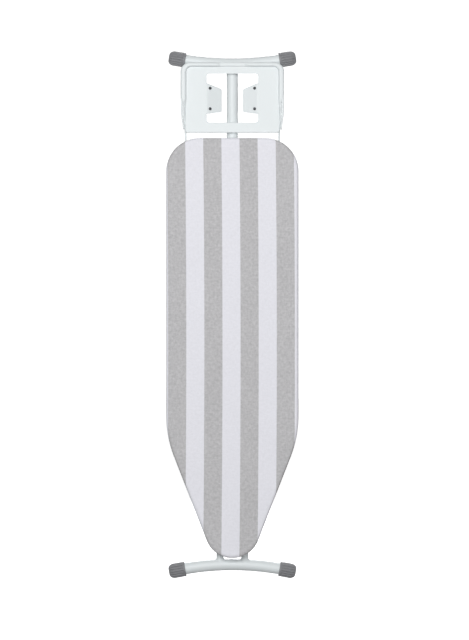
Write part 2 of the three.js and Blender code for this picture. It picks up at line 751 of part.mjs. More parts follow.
for (const [name, hand] of Object.entries(sides)) {
  ['near', 'far'].forEach((place, i) => {
    const seat = TRAY_BOTTOM + TRAY_SHEET + GAP;
    const start = point(STUD_X, STUD_Y[i], seat);
    const profile = [[0, 0], [STUD_R, 0], [STUD_R, 1.2], [STUD_R - 1.5, 2.6], [0, 3]];
    const stud = turned(profile, start, point(0, 0, 1), 12);
    add(`tray_stud_${name}_${place}`, onFlap(stud, hand), DARK_RUBBER());
  });
}

// A wire from the tray's lip, down under the board's tail edge, to a hooked end
function trayWire(hand) {
  const [trayX, boardX] = WIRE_X;
  const [trayZ, boardZ] = WIRE_Z;
  return sweep(ring(WIRE_R, 0, 8), [
    point(hand * trayX, LIP_END_Y - GAP, trayZ),
    point(hand * trayX, LIP_END_Y - 25, trayZ - 0.5),
    point(hand * (trayX - 1), LIP_END_Y - 60, trayZ - 6),
    point(hand * boardX, TAIL_Y + 14, boardZ + 0.6),
    point(hand * boardX, TAIL_Y - 4, boardZ),
    point(hand * boardX, WIRE_HOOK_Y + 6, boardZ),
    point(hand * (boardX + 2), WIRE_HOOK_Y + 1.5, boardZ),
    point(hand * (boardX + 6), WIRE_HOOK_Y, boardZ),
    point(hand * (boardX + WIRE_HOOK), WIRE_HOOK_Y, boardZ),
  ], 24);
}

for (const [name, hand] of Object.entries(sides)) {
  add(`tray_wire_${name}`, trayWire(hand), WHITE_PAINT());
  const boardX = WIRE_X[1];
  const guide = block(
    hand > 0 ? [boardX - 7, boardX + 7] : [-boardX - 7, -boardX + 7],
    GUIDE_Y,
    [WIRE_Z[1] - 6, UNDER_BRACE],
  );
  const channel = rod(
    point(hand * boardX, GUIDE_Y[0] - 1, WIRE_Z[1]),
    point(hand * boardX, GUIDE_Y[1] + 1, WIRE_Z[1]),
    WIRE_R + 0.6,
    12,
  );
  add(`wire_guide_${name}`, cut(guide, channel), GREY_PLASTIC());
}

// ---------------------------------------------------------------- standing on its nose feet

model.rotation.x = Math.PI / 2;
model.updateMatrixWorld(true);
const box = new THREE.Box3().setFromObject(model, true);
const foot = box.getCenter(new THREE.Vector3()).setZ(box.min.z);
model.position.sub(foot);
const ironingBoard = new THREE.Group();
ironingBoard.add(model);

export default ironingBoard;
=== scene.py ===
"""Looks of a folded ironing board, built round its packed frame.

Pieces are drawn in the board's own directions, in millimetres: x runs across the board, y from
the nose to the tail, and z from the folded legs up to the ironing surface. at() turns such a
point into the frame's metres, where the board stands on its nose feet and faces -Y.
"""

import math

import bmesh
import bpy
from mathutils import Matrix, Vector, noise
from mathutils.geometry import tessellate_polygon


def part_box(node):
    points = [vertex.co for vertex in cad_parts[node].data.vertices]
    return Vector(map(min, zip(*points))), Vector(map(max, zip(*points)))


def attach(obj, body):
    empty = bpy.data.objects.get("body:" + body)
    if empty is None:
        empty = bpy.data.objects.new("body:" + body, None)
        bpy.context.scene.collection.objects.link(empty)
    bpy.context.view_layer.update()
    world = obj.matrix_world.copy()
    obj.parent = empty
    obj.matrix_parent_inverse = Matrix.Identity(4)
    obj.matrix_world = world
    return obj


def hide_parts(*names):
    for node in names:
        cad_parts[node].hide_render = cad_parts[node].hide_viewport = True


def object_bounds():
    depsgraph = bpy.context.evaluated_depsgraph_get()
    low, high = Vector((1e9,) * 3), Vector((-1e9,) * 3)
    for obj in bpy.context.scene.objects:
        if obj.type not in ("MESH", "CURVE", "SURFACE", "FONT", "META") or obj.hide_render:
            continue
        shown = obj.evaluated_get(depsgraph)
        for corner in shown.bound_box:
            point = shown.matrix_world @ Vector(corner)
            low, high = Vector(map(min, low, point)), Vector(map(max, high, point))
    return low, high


bl_info = {
    "name": "Folded ironing board",
    "version": (1, 0, 0),
    "blender": (4, 5, 0),
    "location": "3D View > Sidebar > Ironing board",
    "description": "Builds a folded ironing board piece by piece on its packed frame",
    "category": "Object",
}

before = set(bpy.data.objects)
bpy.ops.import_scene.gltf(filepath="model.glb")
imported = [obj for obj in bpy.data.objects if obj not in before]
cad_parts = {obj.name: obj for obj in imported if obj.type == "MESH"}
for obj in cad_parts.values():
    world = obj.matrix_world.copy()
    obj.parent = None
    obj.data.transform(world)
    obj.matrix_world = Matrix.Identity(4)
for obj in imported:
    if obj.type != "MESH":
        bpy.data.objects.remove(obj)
CAD_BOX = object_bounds()

# ------------------------------------------------------------------ driving dimensions, mm

MM = 0.001
SIDES = (("left", -1), ("right", 1))
COVER_LOW, COVER_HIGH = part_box("cotton_cover")
COVER_TOP = 69.5
HALF_WIDTH = (COVER_HIGH.x - COVER_LOW.x) / 2 / MM
TAIL_Y = 522.5
BEND_Y = -365
TAPER = math.radians(21.3)
TAIL_CORNER_R = 99
BEND_R = 330
NOSE_R = 82.4
NOSE_CORNER_Y = BEND_Y - HALF_WIDTH / math.tan(TAPER)

CLOTH = 0.9
EDGE_ROUND = 12  # how far in from the outline the cover's top edge starts to round over
RIM_INSET = 9.4
RIM_R = 7.5
RIM_WALL = 1.2

LEG_Z = 22
PIN_R = 4
NOSE_BAR = {"y": -746.5, "bow": 800, "side": -1}
TAIL_BAR = {"y": 745, "bow": 900, "side": 1}
BAR_R = 17
BAR_BEND_X = 140
BAR_REACH = 42
CAP_LENGTH = 50
CAP_R = 22
CAP_DOME = 17  # length of the rounded end
FLUTES = 16
FLUTE_DEPTH = 3.0
FLUTE_HALF = 0.24  # half a groove's width, as a share of the pitch

SHEET = 1.3
TRAY_FLOOR = 50.4
TRAY_NEAR_Y = 539
WINDOW_X = 76.5
WINDOW_Y = (568.7, 714)
LIP_TOP = 58
LIP_LOW_TOP = 53
FLAP_ANGLE = math.radians(18)
WIRE_R = 2.9
WIRE_Z = 40.8
LEVER_DROOP = math.radians(9)
SHAFT_BORE = 4.3
SLEEVE_R = 7.5


def at(x, y, z):
    """A point given in board directions, in the frame's metres."""
    return Vector((x * MM, COVER_LOW.y + (COVER_TOP - z) * MM, COVER_HIGH.z + (y - TAIL_Y) * MM))


class Span:
    """How far a node of the frame reaches, in board directions."""

    def __init__(self, node):
        low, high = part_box(node)
        self.x = (low.x / MM, high.x / MM)
        self.y = tuple(TAIL_Y + (edge - COVER_HIGH.z) / MM for edge in (low.z, high.z))
        self.z = tuple(COVER_TOP - (edge - COVER_LOW.y) / MM for edge in (high.y, low.y))

    def centre(self):
        """The middle of the node's box."""
        return Vector((sum(self.x) / 2, sum(self.y) / 2, sum(self.z) / 2))


def smoothstep(low, high, value):
    """0 below low, 1 above high, and an eased ramp between."""
    t = min(1, max(0, (value - low) / (high - low)))
    return t * t * (3 - 2 * t)


def blend(a, b, t):
    """The value a share t of the way from a to b."""
    return a + (b - a) * t


# ------------------------------------------------------------------ outlines


def rounded(corners, step=math.radians(6)):
    """The outline of a polygon with rounded corners, each given as (x, y, radius)."""
    outline = []
    for i, (x, y, radius) in enumerate(corners):
        before = Vector(corners[i - 1][:2])
        after = Vector(corners[(i + 1) % len(corners)][:2])
        corner = Vector((x, y))
        if radius == 0:
            outline.append((x, y))
            continue
        arriving = (corner - before).normalized()
        leaving = (after - corner).normalized()
        turn = math.atan2(arriving.x * leaving.y - arriving.y * leaving.x, arriving.dot(leaving))
        hand = 1 if turn > 0 else -1
        start = corner - arriving * radius * math.tan(abs(turn) / 2)
        centre = start + Vector((-arriving.y, arriving.x)) * hand * radius
        steps = 2 * max(1, math.ceil(abs(turn) / step / 2))
        for s in range(steps + 1):
            angle = turn * s / steps
            arm = start - centre
            arm.rotate(turn_matrix(angle))
            outline.append(tuple(centre + arm))
    return outline


def turn_matrix(angle):
    """A turn in the plane."""
    return Matrix.Rotation(angle, 2)


def rectangle(across, along, radius):
    """A rounded rectangle's outline."""
    (x0, x1), (y0, y1) = across, along
    return rounded([(x0, y0, radius), (x1, y0, radius), (x1, y1, radius), (x0, y1, radius)])


def board_corners(inset=0):
    """The corners of the board's outline, drawn in by an inset."""
    half = HALF_WIDTH - inset
    tail = TAIL_Y - inset
    bend = BEND_Y + inset * math.tan(TAPER / 2)
    nose = NOSE_CORNER_Y + inset / math.sin(TAPER)
    return [
        (0, nose, NOSE_R - inset),
        (half, bend, BEND_R - inset),
        (half, tail, TAIL_CORNER_R - inset),
        (-half, tail, TAIL_CORNER_R - inset),
        (-half, bend, BEND_R - inset),
    ]


def half_outline(inset=0):
    """The outline's right half, from the tip of the nose to the middle of the tail."""
    points = rounded(board_corners(inset), math.radians(2))
    right = [Vector(p) for p in points if p[0] > 1e-6]
    tip = NOSE_CORNER_Y + NOSE_R / math.sin(TAPER) - NOSE_R + inset
    return [Vector((0, tip))] + right + [Vector((0, TAIL_Y - inset))]


def spaced(points, count):
    """Count + 1 points at even steps along a line of points."""
    lengths = [0]
    for a, b in zip(points, points[1:]):
        lengths.append(lengths[-1] + (b - a).length)
    result = []
    i = 0
    for k in range(count + 1):
        want = lengths[-1] * k / count
        while i < len(points) - 2 and lengths[i + 1] < want:
            i += 1
        share = (want - lengths[i]) / max(lengths[i + 1] - lengths[i], 1e-9)
        result.append(points[i].lerp(points[i + 1], min(share, 1)))
    return result


class Edge:
    """Even points round the board's outline with their outward directions and how sharply it
    turns there, from 0 on the straight sides to 1 on the tail corners."""

    def __init__(self, count):
        right = spaced(half_outline(), count // 2)
        left = [Vector((-p.x, p.y)) for p in reversed(right[1:-1])]
        self.points = right + left
        self.step = (self.points[1] - self.points[0]).length
        total = len(self.points)
        self.out = []
        for i in range(total):
            along = self.points[(i + 1) % total] - self.points[i - 1]
            self.out.append(Vector((along.y, -along.x)).normalized())
        reach = max(1, round(45 / self.step))
        self.turning = []
        for i in range(total):
            a = self.out[i - reach]
            b = self.out[(i + reach) % total]
            self.turning.append(min(1, a.angle(b) / (2 * 45 / TAIL_CORNER_R)))

    def ring(self, inset, z):
        """The outline drawn in by an inset, at a height."""
        return [(p.x - n.x * inset, p.y - n.y * inset, z) for p, n in zip(self.points, self.out)]


# ------------------------------------------------------------------ forms


class Form:
    """Points and faces gathered in board directions."""

    def __init__(self, *parts):
        self.points = []
        self.faces = []
        for part in parts:
            self.add(part)

    def add(self, part):
        """Takes in another form."""
        start = len(self.points)
        self.points += [tuple(p) for p in part.points]
        self.faces += [[start + i for i in face] for face in part.faces]

    def moved(self, change):
        """The same faces with every point changed."""
        result = Form(self)
        result.points = [tuple(change(Vector(p))) for p in self.points]
        return result


def loft(rings, around=True, ring_on=False, caps=False):
    """A skin over rings of the same number of points."""
    form = Form()
    form.points = [p for ring in rings for p in ring]
    count = len(rings[0])
    steps = len(rings) if ring_on else len(rings) - 1
    for r in range(steps):
        a = r * count
        b = (r + 1) % len(rings) * count
        for i in range(count if around else count - 1):
            j = (i + 1) % count
            form.faces.append((a + i, b + i, b + j, a + j))
    if caps:
        form.faces.append(list(range(count)))
        form.faces.append(list(range((len(rings) - 1) * count, len(rings) * count))[::-1])
    return form


PLANES = {
    "xy": lambda a, b, c: (a, b, c),
    "yz": lambda a, b, c: (c, a, b),
    "xz": lambda a, b, c: (a, c, b),
}


def slab(outline, low, high, plane="xy", holes=()):
    """A flat piece: an outline in a plane, with a thickness across it."""
    place = PLANES[plane]
    form = Form()
    loops = [list(outline)] + [list(hole) for hole in holes]
    flat = [p for loop in loops for p in loop]
    form.points = [place(a, b, level) for level in (low, high) for a, b in flat]
    total = len(flat)
    if holes:
        triangles = tessellate_polygon([[Vector((a, b, 0)) for a, b in loop] for loop in loops])
        form.faces += [list(t) for t in triangles]
        form.faces += [[total + i for i in reversed(t)] for t in triangles]
    else:
        form.faces.append(list(range(total)))
        form.faces.append(list(range(2 * total - 1, total - 1, -1)))
    start = 0
    for loop in loops:
        for i in range(len(loop)):
            a = start + i
            b = start + (i + 1) % len(loop)
            form.faces.append((a, b, total + b, total + a))
        start += len(loop)
    return form


def block(across, along, up):
    """A plain rectangular solid."""
    (x0, x1), (y0, y1), (z0, z1) = across, along, up
    return slab([(x0, y0), (x1, y0), (x1, y1), (x0, y1)], z0, z1)


def hole(centre, radius):
    """The outline of a round hole in a flat piece."""
    turns = [-2 * math.pi * i / 32 for i in range(32)]
    return [(centre[0] + radius * math.cos(a), centre[1] + radius * math.sin(a)) for a in turns]


def circle(here, along, up, radius, count):
    """Points round a line at a place, starting to the side of it."""
    side = along.cross(Vector(up)).normalized()
    rise = side.cross(along).normalized()
    turns = [2 * math.pi * k / count for k in range(count)]
    return [here + (side * math.cos(a) + rise * math.sin(a)) * radius for a in turns]


def turned(profile, start, direction, count=48, shape=None, ring_on=False):
    """A turned piece: (radius, along) points carried round a line. shape may change each radius
    by the angle and the profile point's number."""
    start = Vector(start)
    axis = Vector(direction).normalized()
    side = axis.orthogonal().normalized()
    if abs(axis.x) > 0.5:
        side = Vector((0, 0, 1))
        side = (side - axis * side.dot(axis)).normalized()
    other = axis.cross(side)
    rings = []
    for number, (radius, along) in enumerate(profile):
        ring = []
        for i in range(count):
            angle = 2 * math.pi * i / count
            r = shape(angle, radius, number) if shape else radius
            ring.append(start + axis * along + (side * math.cos(angle) + other * math.sin(angle)) * r)
        rings.append(ring)
    return loft(rings, ring_on=ring_on, caps=not ring_on)


def hexagon(angle, radius, number):
    """Makes a turned piece six-sided."""
    return radius * math.cos(math.pi / 6) / math.cos(angle % (math.pi / 3) - math.pi / 6)


def swept(path, radius, inner=0, count=24, up=(0, 0, 1)):
    """A round bar along a line of points, or a tube if it is given an inner radius."""
    path = [Vector(p) for p in path]
    rings = {radius: [], inner: []}
    for i, here in enumerate(path):
        along = path[min(i + 1, len(path) - 1)] - path[max(i - 1, 0)]
        for r in rings:
            rings[r].append(circle(here, along, up, r, count))
    if inner:
        return loft(rings[radius] + rings[inner][::-1], ring_on=True)
    return loft(rings[radius], caps=True)


def rod(start, end, radius, chamfer):
    """A straight round bar with softened ends."""
    start = Vector(start)
    long = (Vector(end) - start).length
    profile = [
        (0, 0),
        (radius - chamfer, 0),
        (radius, chamfer),
        (radius, long - chamfer),
        (radius - chamfer, long),
        (0, long),
    ]
    return turned(profile, start, Vector(end) - start, 32)


def flowing(points, per=10):
    """A smooth line through a few points."""
    points = [Vector(p) for p in points]
    line = []
    for i in range(len(points) - 1):
        a = points[max(i - 1, 0)]
        b = points[i]
        c = points[i + 1]
        d = points[min(i + 2, len(points) - 1)]
        for k in range(per):
            t = k / per
            curve = (2 * a - 5 * b + 4 * c - d) * t * t
            twist = (3 * b - a - 3 * c + d) * t * t * t
            line.append(0.5 * (2 * b + (c - a) * t + curve + twist))
    return line + [points[-1]]


def piece(name, form, body, finish, replaces=(), bevel=0.0, sharp=40, faced=True):
    """Makes an object of a form: it rides on a body and stands for nodes of the frame."""
    mesh = bpy.data.meshes.new(name)
    mesh.from_pydata([at(*p) for p in form.points], [], form.faces)
    tidy = bmesh.new()
    tidy.from_mesh(mesh)
    bmesh.ops.remove_doubles(tidy, verts=tidy.verts, dist=2e-6)
    bmesh.ops.dissolve_degenerate(tidy, edges=tidy.edges, dist=1e-6)
    if faced:
        bmesh.ops.recalc_face_normals(tidy, faces=tidy.faces)
    tidy.to_mesh(mesh)
    tidy.free()
    mesh.shade_smooth()
    mesh.set_sharp_from_angle(angle=math.radians(sharp))
    obj = bpy.data.objects.new(name, mesh)
    bpy.context.scene.collection.objects.link(obj)
    if bevel:
        soften = obj.modifiers.new("softened_edges", "BEVEL")
        soften.width = bevel * MM
        soften.segments = 3
        soften.limit_method = "ANGLE"
        soften.angle_limit = math.radians(35)
        soften.harden_normals = True
    obj.data.materials.append(FINISHES[finish]())
    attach(obj, body)
    if replaces:
        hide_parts(*replaces)
    return obj


# ------------------------------------------------------------------ shader expressions


class Value:
    """A socket's value, so that shader maths reads as an expression."""

    def __init__(self, shade, socket):
        self.shade = shade
        self.socket = socket

    def output(self, name):
        """Another output of the same node."""
        return Value(self.shade, self.socket.node.outputs[name])

    def maths(self, operation, *others):
        """A Math node on this value and others."""
        values = dict(enumerate((self, *others)))
        return self.shade.node("ShaderNodeMath", {"operation": operation}, values)

    def __add__(self, other):
        return self.maths("ADD", other)

    def __sub__(self, other):
        return self.maths("SUBTRACT", other)

    def __rsub__(self, other):
        return self.shade.node("ShaderNodeMath", {"operation": "SUBTRACT"}, {0: other, 1: self})

    def __mul__(self, other):
        return self.maths("MULTIPLY", other)

    def __truediv__(self, other):
        return self.maths("DIVIDE", other)

    def sine(self):
        """The sine, in radians."""
        return self.maths("SINE")

    def clamped(self):
        """The value kept from 0 to 1."""
        return self.shade.node("ShaderNodeClamp", {}, {"Value": self})


class Shade:
    """One material and the nodes that are added to it."""

    def __init__(self, name, **sockets):
        self.material = bpy.data.materials.new(name)
        self.material.use_nodes = True
        self.tree = self.material.node_tree
        self.shader = self.tree.nodes["Principled BSDF"]
        self.set(**sockets)

    def put(self, socket, value):
        """Gives a socket a link or a constant."""
        if isinstance(value, Value):
            self.tree.links.new(value.socket, socket)
        elif socket.type == "RGBA" and len(value) == 3:
            socket.default_value = (*value, 1)
        else:
            socket.default_value = value

    def node(self, kind, settings=None, inputs=None):
        """Adds a node: its settings first, then the values or links of its sockets."""
        made = self.tree.nodes.new(kind)
        for name, value in (settings or {}).items():
            setattr(made, name, value)
        for name, value in (inputs or {}).items():
            self.put(made.inputs[name], value)
        return Value(self, next(s for s in made.outputs if s.enabled))

    def set(self, **sockets):
        """Sets sockets of the material's own shader, named with underscores for spaces."""
        for name, value in sockets.items():
            self.put(self.shader.inputs[name.replace("_", " ")], value)

    def mix(self, share, a, b):
        """A colour between two colours."""
        made = self.node("ShaderNodeMix", {"data_type": "RGBA"}, {0: share, 6: a, 7: b})
        return Value(self, made.socket.node.outputs[2])

    def place(self, stretch=(1, 1, 1)):
        """The place on the piece, in metres, stretched along each axis."""
        here = self.node("ShaderNodeTexCoord").output("Object")
        return self.node(
            "ShaderNodeVectorMath", {"operation": "MULTIPLY"}, {0: here, 1: stretch}
        )

    def noise(self, vector, scale, detail=3.0, roughness=0.5):
        """Fractal noise from 0 to 1."""
        inputs = {"Vector": vector, "Scale": scale, "Detail": detail, "Roughness": roughness}
        return self.node("ShaderNodeTexNoise", {}, inputs).output("Fac")

    def bump(self, height, millimetres, strength=1.0):
        """Raises the surface by a height from 0 to 1."""
        inputs = {"Height": height, "Distance": millimetres * MM, "Strength": strength}
        self.set(Normal=self.node("ShaderNodeBump", {}, inputs))


def tint(colour, by):
    """A colour made lighter or darker."""
    return tuple(min(1, c * by) for c in colour[:3])


# ------------------------------------------------------------------ finishes


BOW_REACH = 0.62  # metres from where the stripes lean out most to where they run straight
BOW_MIDDLE = 0.15  # how far that place lies toward the nose, as a share of the reach
STRIPE_SHARPNESS = 60


def striped_cotton():
    """Plain-woven cotton in wide stripes that follow the cloth over the edge."""
    look = bpy.context.scene.board_cover
    shade = Shade("striped_cotton", Roughness=0.88, Sheen_Weight=0.12, Sheen_Roughness=0.5)
    shade.set(Specular_IOR_Level=0.2)
    cloth = shade.node("ShaderNodeUVMap", {"uv_map": "cloth"})
    parts = shade.node("ShaderNodeSeparateXYZ", {}, {0: cloth})
    across = parts.output("X")
    along = parts.output("Y")

    share = along / BOW_REACH + BOW_MIDDLE
    bowed = (1 - share * share) * look.stripe_bow
    frayed = shade.noise(cloth, 700, 2) * 0.0007
    phase = (across - bowed + frayed - look.stripe_offset - 0.00035) * (math.pi / look.stripe_width)
    light = ((phase + math.pi / 2).sine() * STRIPE_SHARPNESS + 0.5).clamped()

    def threads(stretch, scale, detail=4):
        """Yarns drawn out along one way of the cloth."""
        inputs = {0: cloth, 1: stretch}
        run = shade.node("ShaderNodeVectorMath", {"operation": "MULTIPLY"}, inputs)
        return shade.noise(run, scale, detail, 0.6)

    weft = threads((0.16, 1, 1), 900)
    warp = threads((1, 0.16, 1), 900)
    cloud = shade.noise(cloth, 9, 3)
    mottle = (weft + warp) * 0.5
    slub = threads((0.5, 1, 1), 170, 3) + threads((1, 0.5, 1), 170, 3) - 1
    depth = ((mottle - 0.5) * 2.4 + slub * 1.8 + (cloud - 0.5) * 0.5 + 0.5).clamped()
    grey = shade.mix(depth, tint(look.grey, 0.86), tint(look.grey, 1.13))
    white = shade.mix(depth, tint(look.white, 0.96), tint(look.white, 1.03))
    shade.set(Base_Color=shade.mix(light, grey, white))

    pitch = 2 * math.pi / (look.yarn * 2)
    weave = (across * pitch).sine() * (along * pitch).sine() * 0.5 + 0.5
    soft_waves = shade.noise(cloth, 26, 2)
    shade.bump(weave * 0.25 + mottle * 0.35 + soft_waves * 2.2, 0.45, 0.7)
    return shade.material


def felt():
    """Pressed wool-and-cotton felt with short loose fibres."""
    look = bpy.context.scene.board_cover
    shade = Shade("felt", Roughness=0.95, Sheen_Weight=0.3, Specular_IOR_Level=0.1)
    fibres = shade.noise(shade.place((1, 1, 0.35)), 1400, 5, 0.7)
    crossing = shade.noise(shade.place((0.35, 1, 1)), 1400, 5, 0.7)
    flecks = shade.noise(shade.place(), 260, 2)
    depth = ((fibres + crossing) * 0.5 + (flecks - 0.5) * 0.5).clamped()
    shade.set(Base_Color=shade.mix(depth, tint(look.felt, 0.72), tint(look.felt, 1.12)))
    shade.bump(fibres + crossing, 0.5, 0.8)
    return shade.material


def painted(name, colour, roughness):
    """Powder-coated steel: a faint orange-peel surface and slightly uneven gloss."""
    shade = Shade(name, Coat_Weight=0.05, Coat_Roughness=0.3, Specular_IOR_Level=0.3)
    cloud = shade.noise(shade.place(), 14, 3)
    speck = shade.noise(shade.place(), 900, 2)
    depth = (cloud * 0.7 + speck * 0.3).clamped()
    shade.set(Base_Color=shade.mix(depth, tint(colour, 0.975), tint(colour, 1.02)))
    shade.set(Roughness=(cloud - 0.5) * 0.16 + (speck - 0.5) * 0.08 + roughness)
    shade.bump(shade.noise(shade.place(), 420, 2) + speck * 0.3, 0.12, 0.35)
    return shade.material


def white_paint():
    """The paint of the legs, feet and iron rest."""
    return painted("white_paint", bpy.context.scene.board_frame.paint, 0.42)


def frame_paint():
    """The duller paint of the parts under the cover."""
    return painted("frame_paint", bpy.context.scene.board_frame.under_paint, 0.46)


def zinc():
    """Zinc-plated steel with a faint grain and dull, cloudy patches."""
    look = bpy.context.scene.board_frame
    shade = Shade("zinc", Metallic=1.0)
    grain = shade.noise(shade.place((1, 1, 0.12)), 2200, 4, 0.6)
    cells = {"Vector": shade.place(), "Scale": 210.0}
    spangle = shade.node("ShaderNodeTexVoronoi", {}, cells).output("Distance")
    cloud = shade.noise(shade.place(), 45, 3)
    depth = (grain * 0.4 + spangle * 0.3 + cloud * 0.4).clamped()
    shade.set(Base_Color=shade.mix(depth, tint(look.zinc, 0.78), tint(look.zinc, 1.12)))
    shade.set(Roughness=cloud * 0.22 + grain * 0.12 + 0.18)
    shade.bump(grain + spangle * 0.5, 0.06, 0.5)
    return shade.material


def grey_plastic():
    """Moulded plastic with a fine spark-eroded grain."""
    look = bpy.context.scene.board_frame
    shade = Shade("grey_plastic", Specular_IOR_Level=0.4)
    grain = shade.noise(shade.place(), 2600, 3, 0.6)
    cloud = shade.noise(shade.place(), 60, 3)
    depth = ((grain - 0.5) * 0.8 + (cloud - 0.5) * 0.8 + 0.5).clamped()
    shade.set(Base_Color=shade.mix(depth, tint(look.plastic, 0.84), tint(look.plastic, 1.16)))
    shade.set(Roughness=(grain - 0.5) * 0.2 + (cloud - 0.5) * 0.15 + 0.52)
    shade.bump(grain, 0.12, 0.6)
    return shade.material


def dark_rubber():
    """Soft dark rubber, a little dusty."""
    look = bpy.context.scene.board_frame
    shade = Shade("dark_rubber", Specular_IOR_Level=0.35)
    dust = shade.noise(shade.place(), 420, 4, 0.6)
    shade.set(Base_Color=shade.mix(dust, tint(look.rubber, 0.75), tint(look.rubber, 1.3)))
    shade.set(Roughness=(dust - 0.5) * 0.2 + 0.68)
    shade.bump(shade.noise(shade.place(), 3000, 2), 0.08, 0.5)
    return shade.material


def once(build):
    """Builds a finish the first time that it is asked for."""
    made = []

    def give():
        if not made:
            made.append(build())
        return made[0]

    return give


BUILDERS = (striped_cotton, felt, white_paint, frame_paint, zinc, grey_plastic, dark_rubber)
FINISHES = {build.__name__: once(build) for build in BUILDERS}


# ------------------------------------------------------------------ cover, pad and panel

COVER_POINTS = 1080
GATHER_PITCH = 15.5
SPINE_Y = (-640, 400)  # the stretch of the middle line that the top's rings close on
HEM_LIFT = 5.2  # how far a full gather lifts the hem's edge
STITCH_INSET = 29.5
# (inset, height) from where the top starts to round over, down the skirt and under the rim
COVER_PROFILE = [
    (EDGE_ROUND, 69.5),
    (9, 69.3),
    (6, 68.6),
    (3.8, 67.4),
    (2.0, 65.5),
    (0.9, 63.2),
    (0.3, 60.5),
    (0.0, 57),
    (0.2, 53),
    (0.8, 49.6),
    (2.2, 46.8),
    (4.4, 45.1),
    (7.5, 44.5),
    (11, 44.4),
    (15, 44.4),
    (19, 44.5),
    (23, 44.6),
    (27, 44.7),
    (30.5, 44.8),
]
HEM_ROLL = (33.4, 47.2, 2.3)  # inset, height and radius of the casing along the hem's edge
STITCH_PITCH = 4.05


def spine(ring, z):
    """The points on the board's middle line that a ring closes on, at a height."""
    low, high = SPINE_Y
    return [(0, min(high, max(low, y)), z) for _, y, _ in ring]


def hem_lift(inset):
    """How far a full gather lifts the cloth at an inset."""
    return HEM_LIFT * smoothstep(10, 31, inset)


def gather_wave(edge, i):
    """How high the gathers stand at a point of the outline, from 0 to 1."""
    s = i * edge.step
    drift = 2.2 * noise.noise(Vector((s / 60, 0.3, 0)))
    fold = 0.5 + 0.5 * math.sin(2 * math.pi * s / GATHER_PITCH + drift)
    uneven = 0.75 + 0.5 * noise.noise(Vector((s / 25, 7.1, 0)))
    return fold * uneven * (0.3 + 0.7 * edge.turning[i])


def cover_rings(edge):
    """The cover's rings from the board's middle line out and under the rim, and where each
    point lies on the flat cloth, in metres."""
    count = len(edge.points)
    waves = [gather_wave(edge, i) for i in range(count)]
    rings = []
    flat = []
    start = edge.ring(EDGE_ROUND, COVER_TOP)
    middle = spine(start, COVER_TOP)
    inner_steps = 16
    for k in range(inner_steps):
        t = k / inner_steps
        ring = []
        for m, p in zip(middle, start):
            x = blend(m[0], p[0], t)
            y = blend(m[1], p[1], t)
            swell = 0.3 * noise.noise(Vector((x / 70, y / 90, 2.5)))
            ring.append((x, y, COVER_TOP - 0.3 + swell))
        rings.append(ring)
        flat.append([(x * MM, y * MM) for x, y, _ in ring])

    roll_inset, roll_z, roll_r = HEM_ROLL
    turns = [math.radians(a) for a in range(-90, 226, 35)]
    roll = [(roll_inset + roll_r * math.cos(a), roll_z + roll_r * math.sin(a)) for a in turns]
    profile = COVER_PROFILE + roll
    travelled = 0.0
    before = profile[0]
    for inset, z in profile:
        travelled += math.dist((inset, z), before)
        before = (inset, z)
        lift = hem_lift(inset) if z < 52 else 0
        pucker = 0.45 * smoothstep(66, 50, z) if inset < 6 else 0
        ring = []
        cloth = []
        for i, (p, n) in enumerate(zip(edge.points, edge.out)):
            wave = waves[i]
            d = inset + pucker * wave * edge.turning[i]
            ring.append((p.x - n.x * d, p.y - n.y * d, z + lift * wave))
            out = travelled - EDGE_ROUND
            cloth.append(((p.x + n.x * out) * MM, (p.y + n.y * out) * MM))
        rings.append(ring)
        flat.append(cloth)
    return rings, flat, waves


def lay_cloth(obj, rings, flat):
    """Gives the cover a map of where each point lies on the flat cloth."""
    places = {}
    for ring, cloth in zip(rings, flat):
        for p, uv in zip(ring, cloth):
            places.setdefault(tuple(round(c, 5) for c in at(*p)), uv)
    layer = obj.data.uv_layers.new(name="cloth")
    for loop in obj.data.loops:
        co = obj.data.vertices[loop.vertex_index].co
        key = tuple(round(c, 5) for c in co)
        layer.data[loop.index].uv = places.get(key, (co.x, co.z))


def flat_cloth():
    """The cut's size and area: the outline grown by the skirt and the turned hem."""
    roll = math.radians(315) * HEM_ROLL[2]
    profile = COVER_PROFILE
    down = sum(math.dist(a, b) for a, b in zip(profile, profile[1:])) + roll
    grow = down - EDGE_ROUND
    edge = Edge(400)
    outline = [p + n * grow for p, n in zip(edge.points, edge.out)]
    xs = [p.x for p in outline]
    ys = [p.y for p in outline]
    area = 0.0
    for a, b in zip(outline, outline[1:] + outline[:1]):
        area += (a.x * b.y - b.x * a.y) / 2
    return ((max(xs) - min(xs)) * MM, (max(ys) - min(ys)) * MM), area * MM * MM


def build_cover():
    """The cotton cover: stretched top, skirt, gathered hem and rolled casing."""
    edge = Edge(COVER_POINTS)
    rings, flat, waves = cover_rings(edge)
    cover = piece("cover", loft(rings), "board", "striped_cotton", ["cotton_cover"], sharp=180,
                  faced=False)
    lay_cloth(cover, rings, flat)
    cloth = cover.modifiers.new("cloth", "SOLIDIFY")
    cloth.thickness = CLOTH * MM
    cloth.offset = -1
    size, area = flat_cloth()
    seam = build_stitches(edge, waves)


def build_stitches(edge, waves):
    """The row of stitches that closes the casing along the hem's edge."""
    form = Form()
    lift = hem_lift(STITCH_INSET)
    every = max(1, round(STITCH_PITCH / edge.step))
    for i in range(0, len(edge.points) - 1, every):
        ends = []
        for k in (i, i + 1):
            p = edge.points[k] - edge.out[k] * STITCH_INSET
            ends.append(Vector((p.x, p.y, 44.62 + lift * waves[k])))
        along = (ends[1] - ends[0]).normalized()
        centre = (ends[0] + ends[1]) / 2
        profile = [(0, -1.5), (0.28, -1.1), (0.38, 0), (0.28, 1.1), (0, 1.5)]
        form.add(turned(profile, centre, along, 6))
    return piece("cover_stitches", form, "board", "felt", sharp=180)


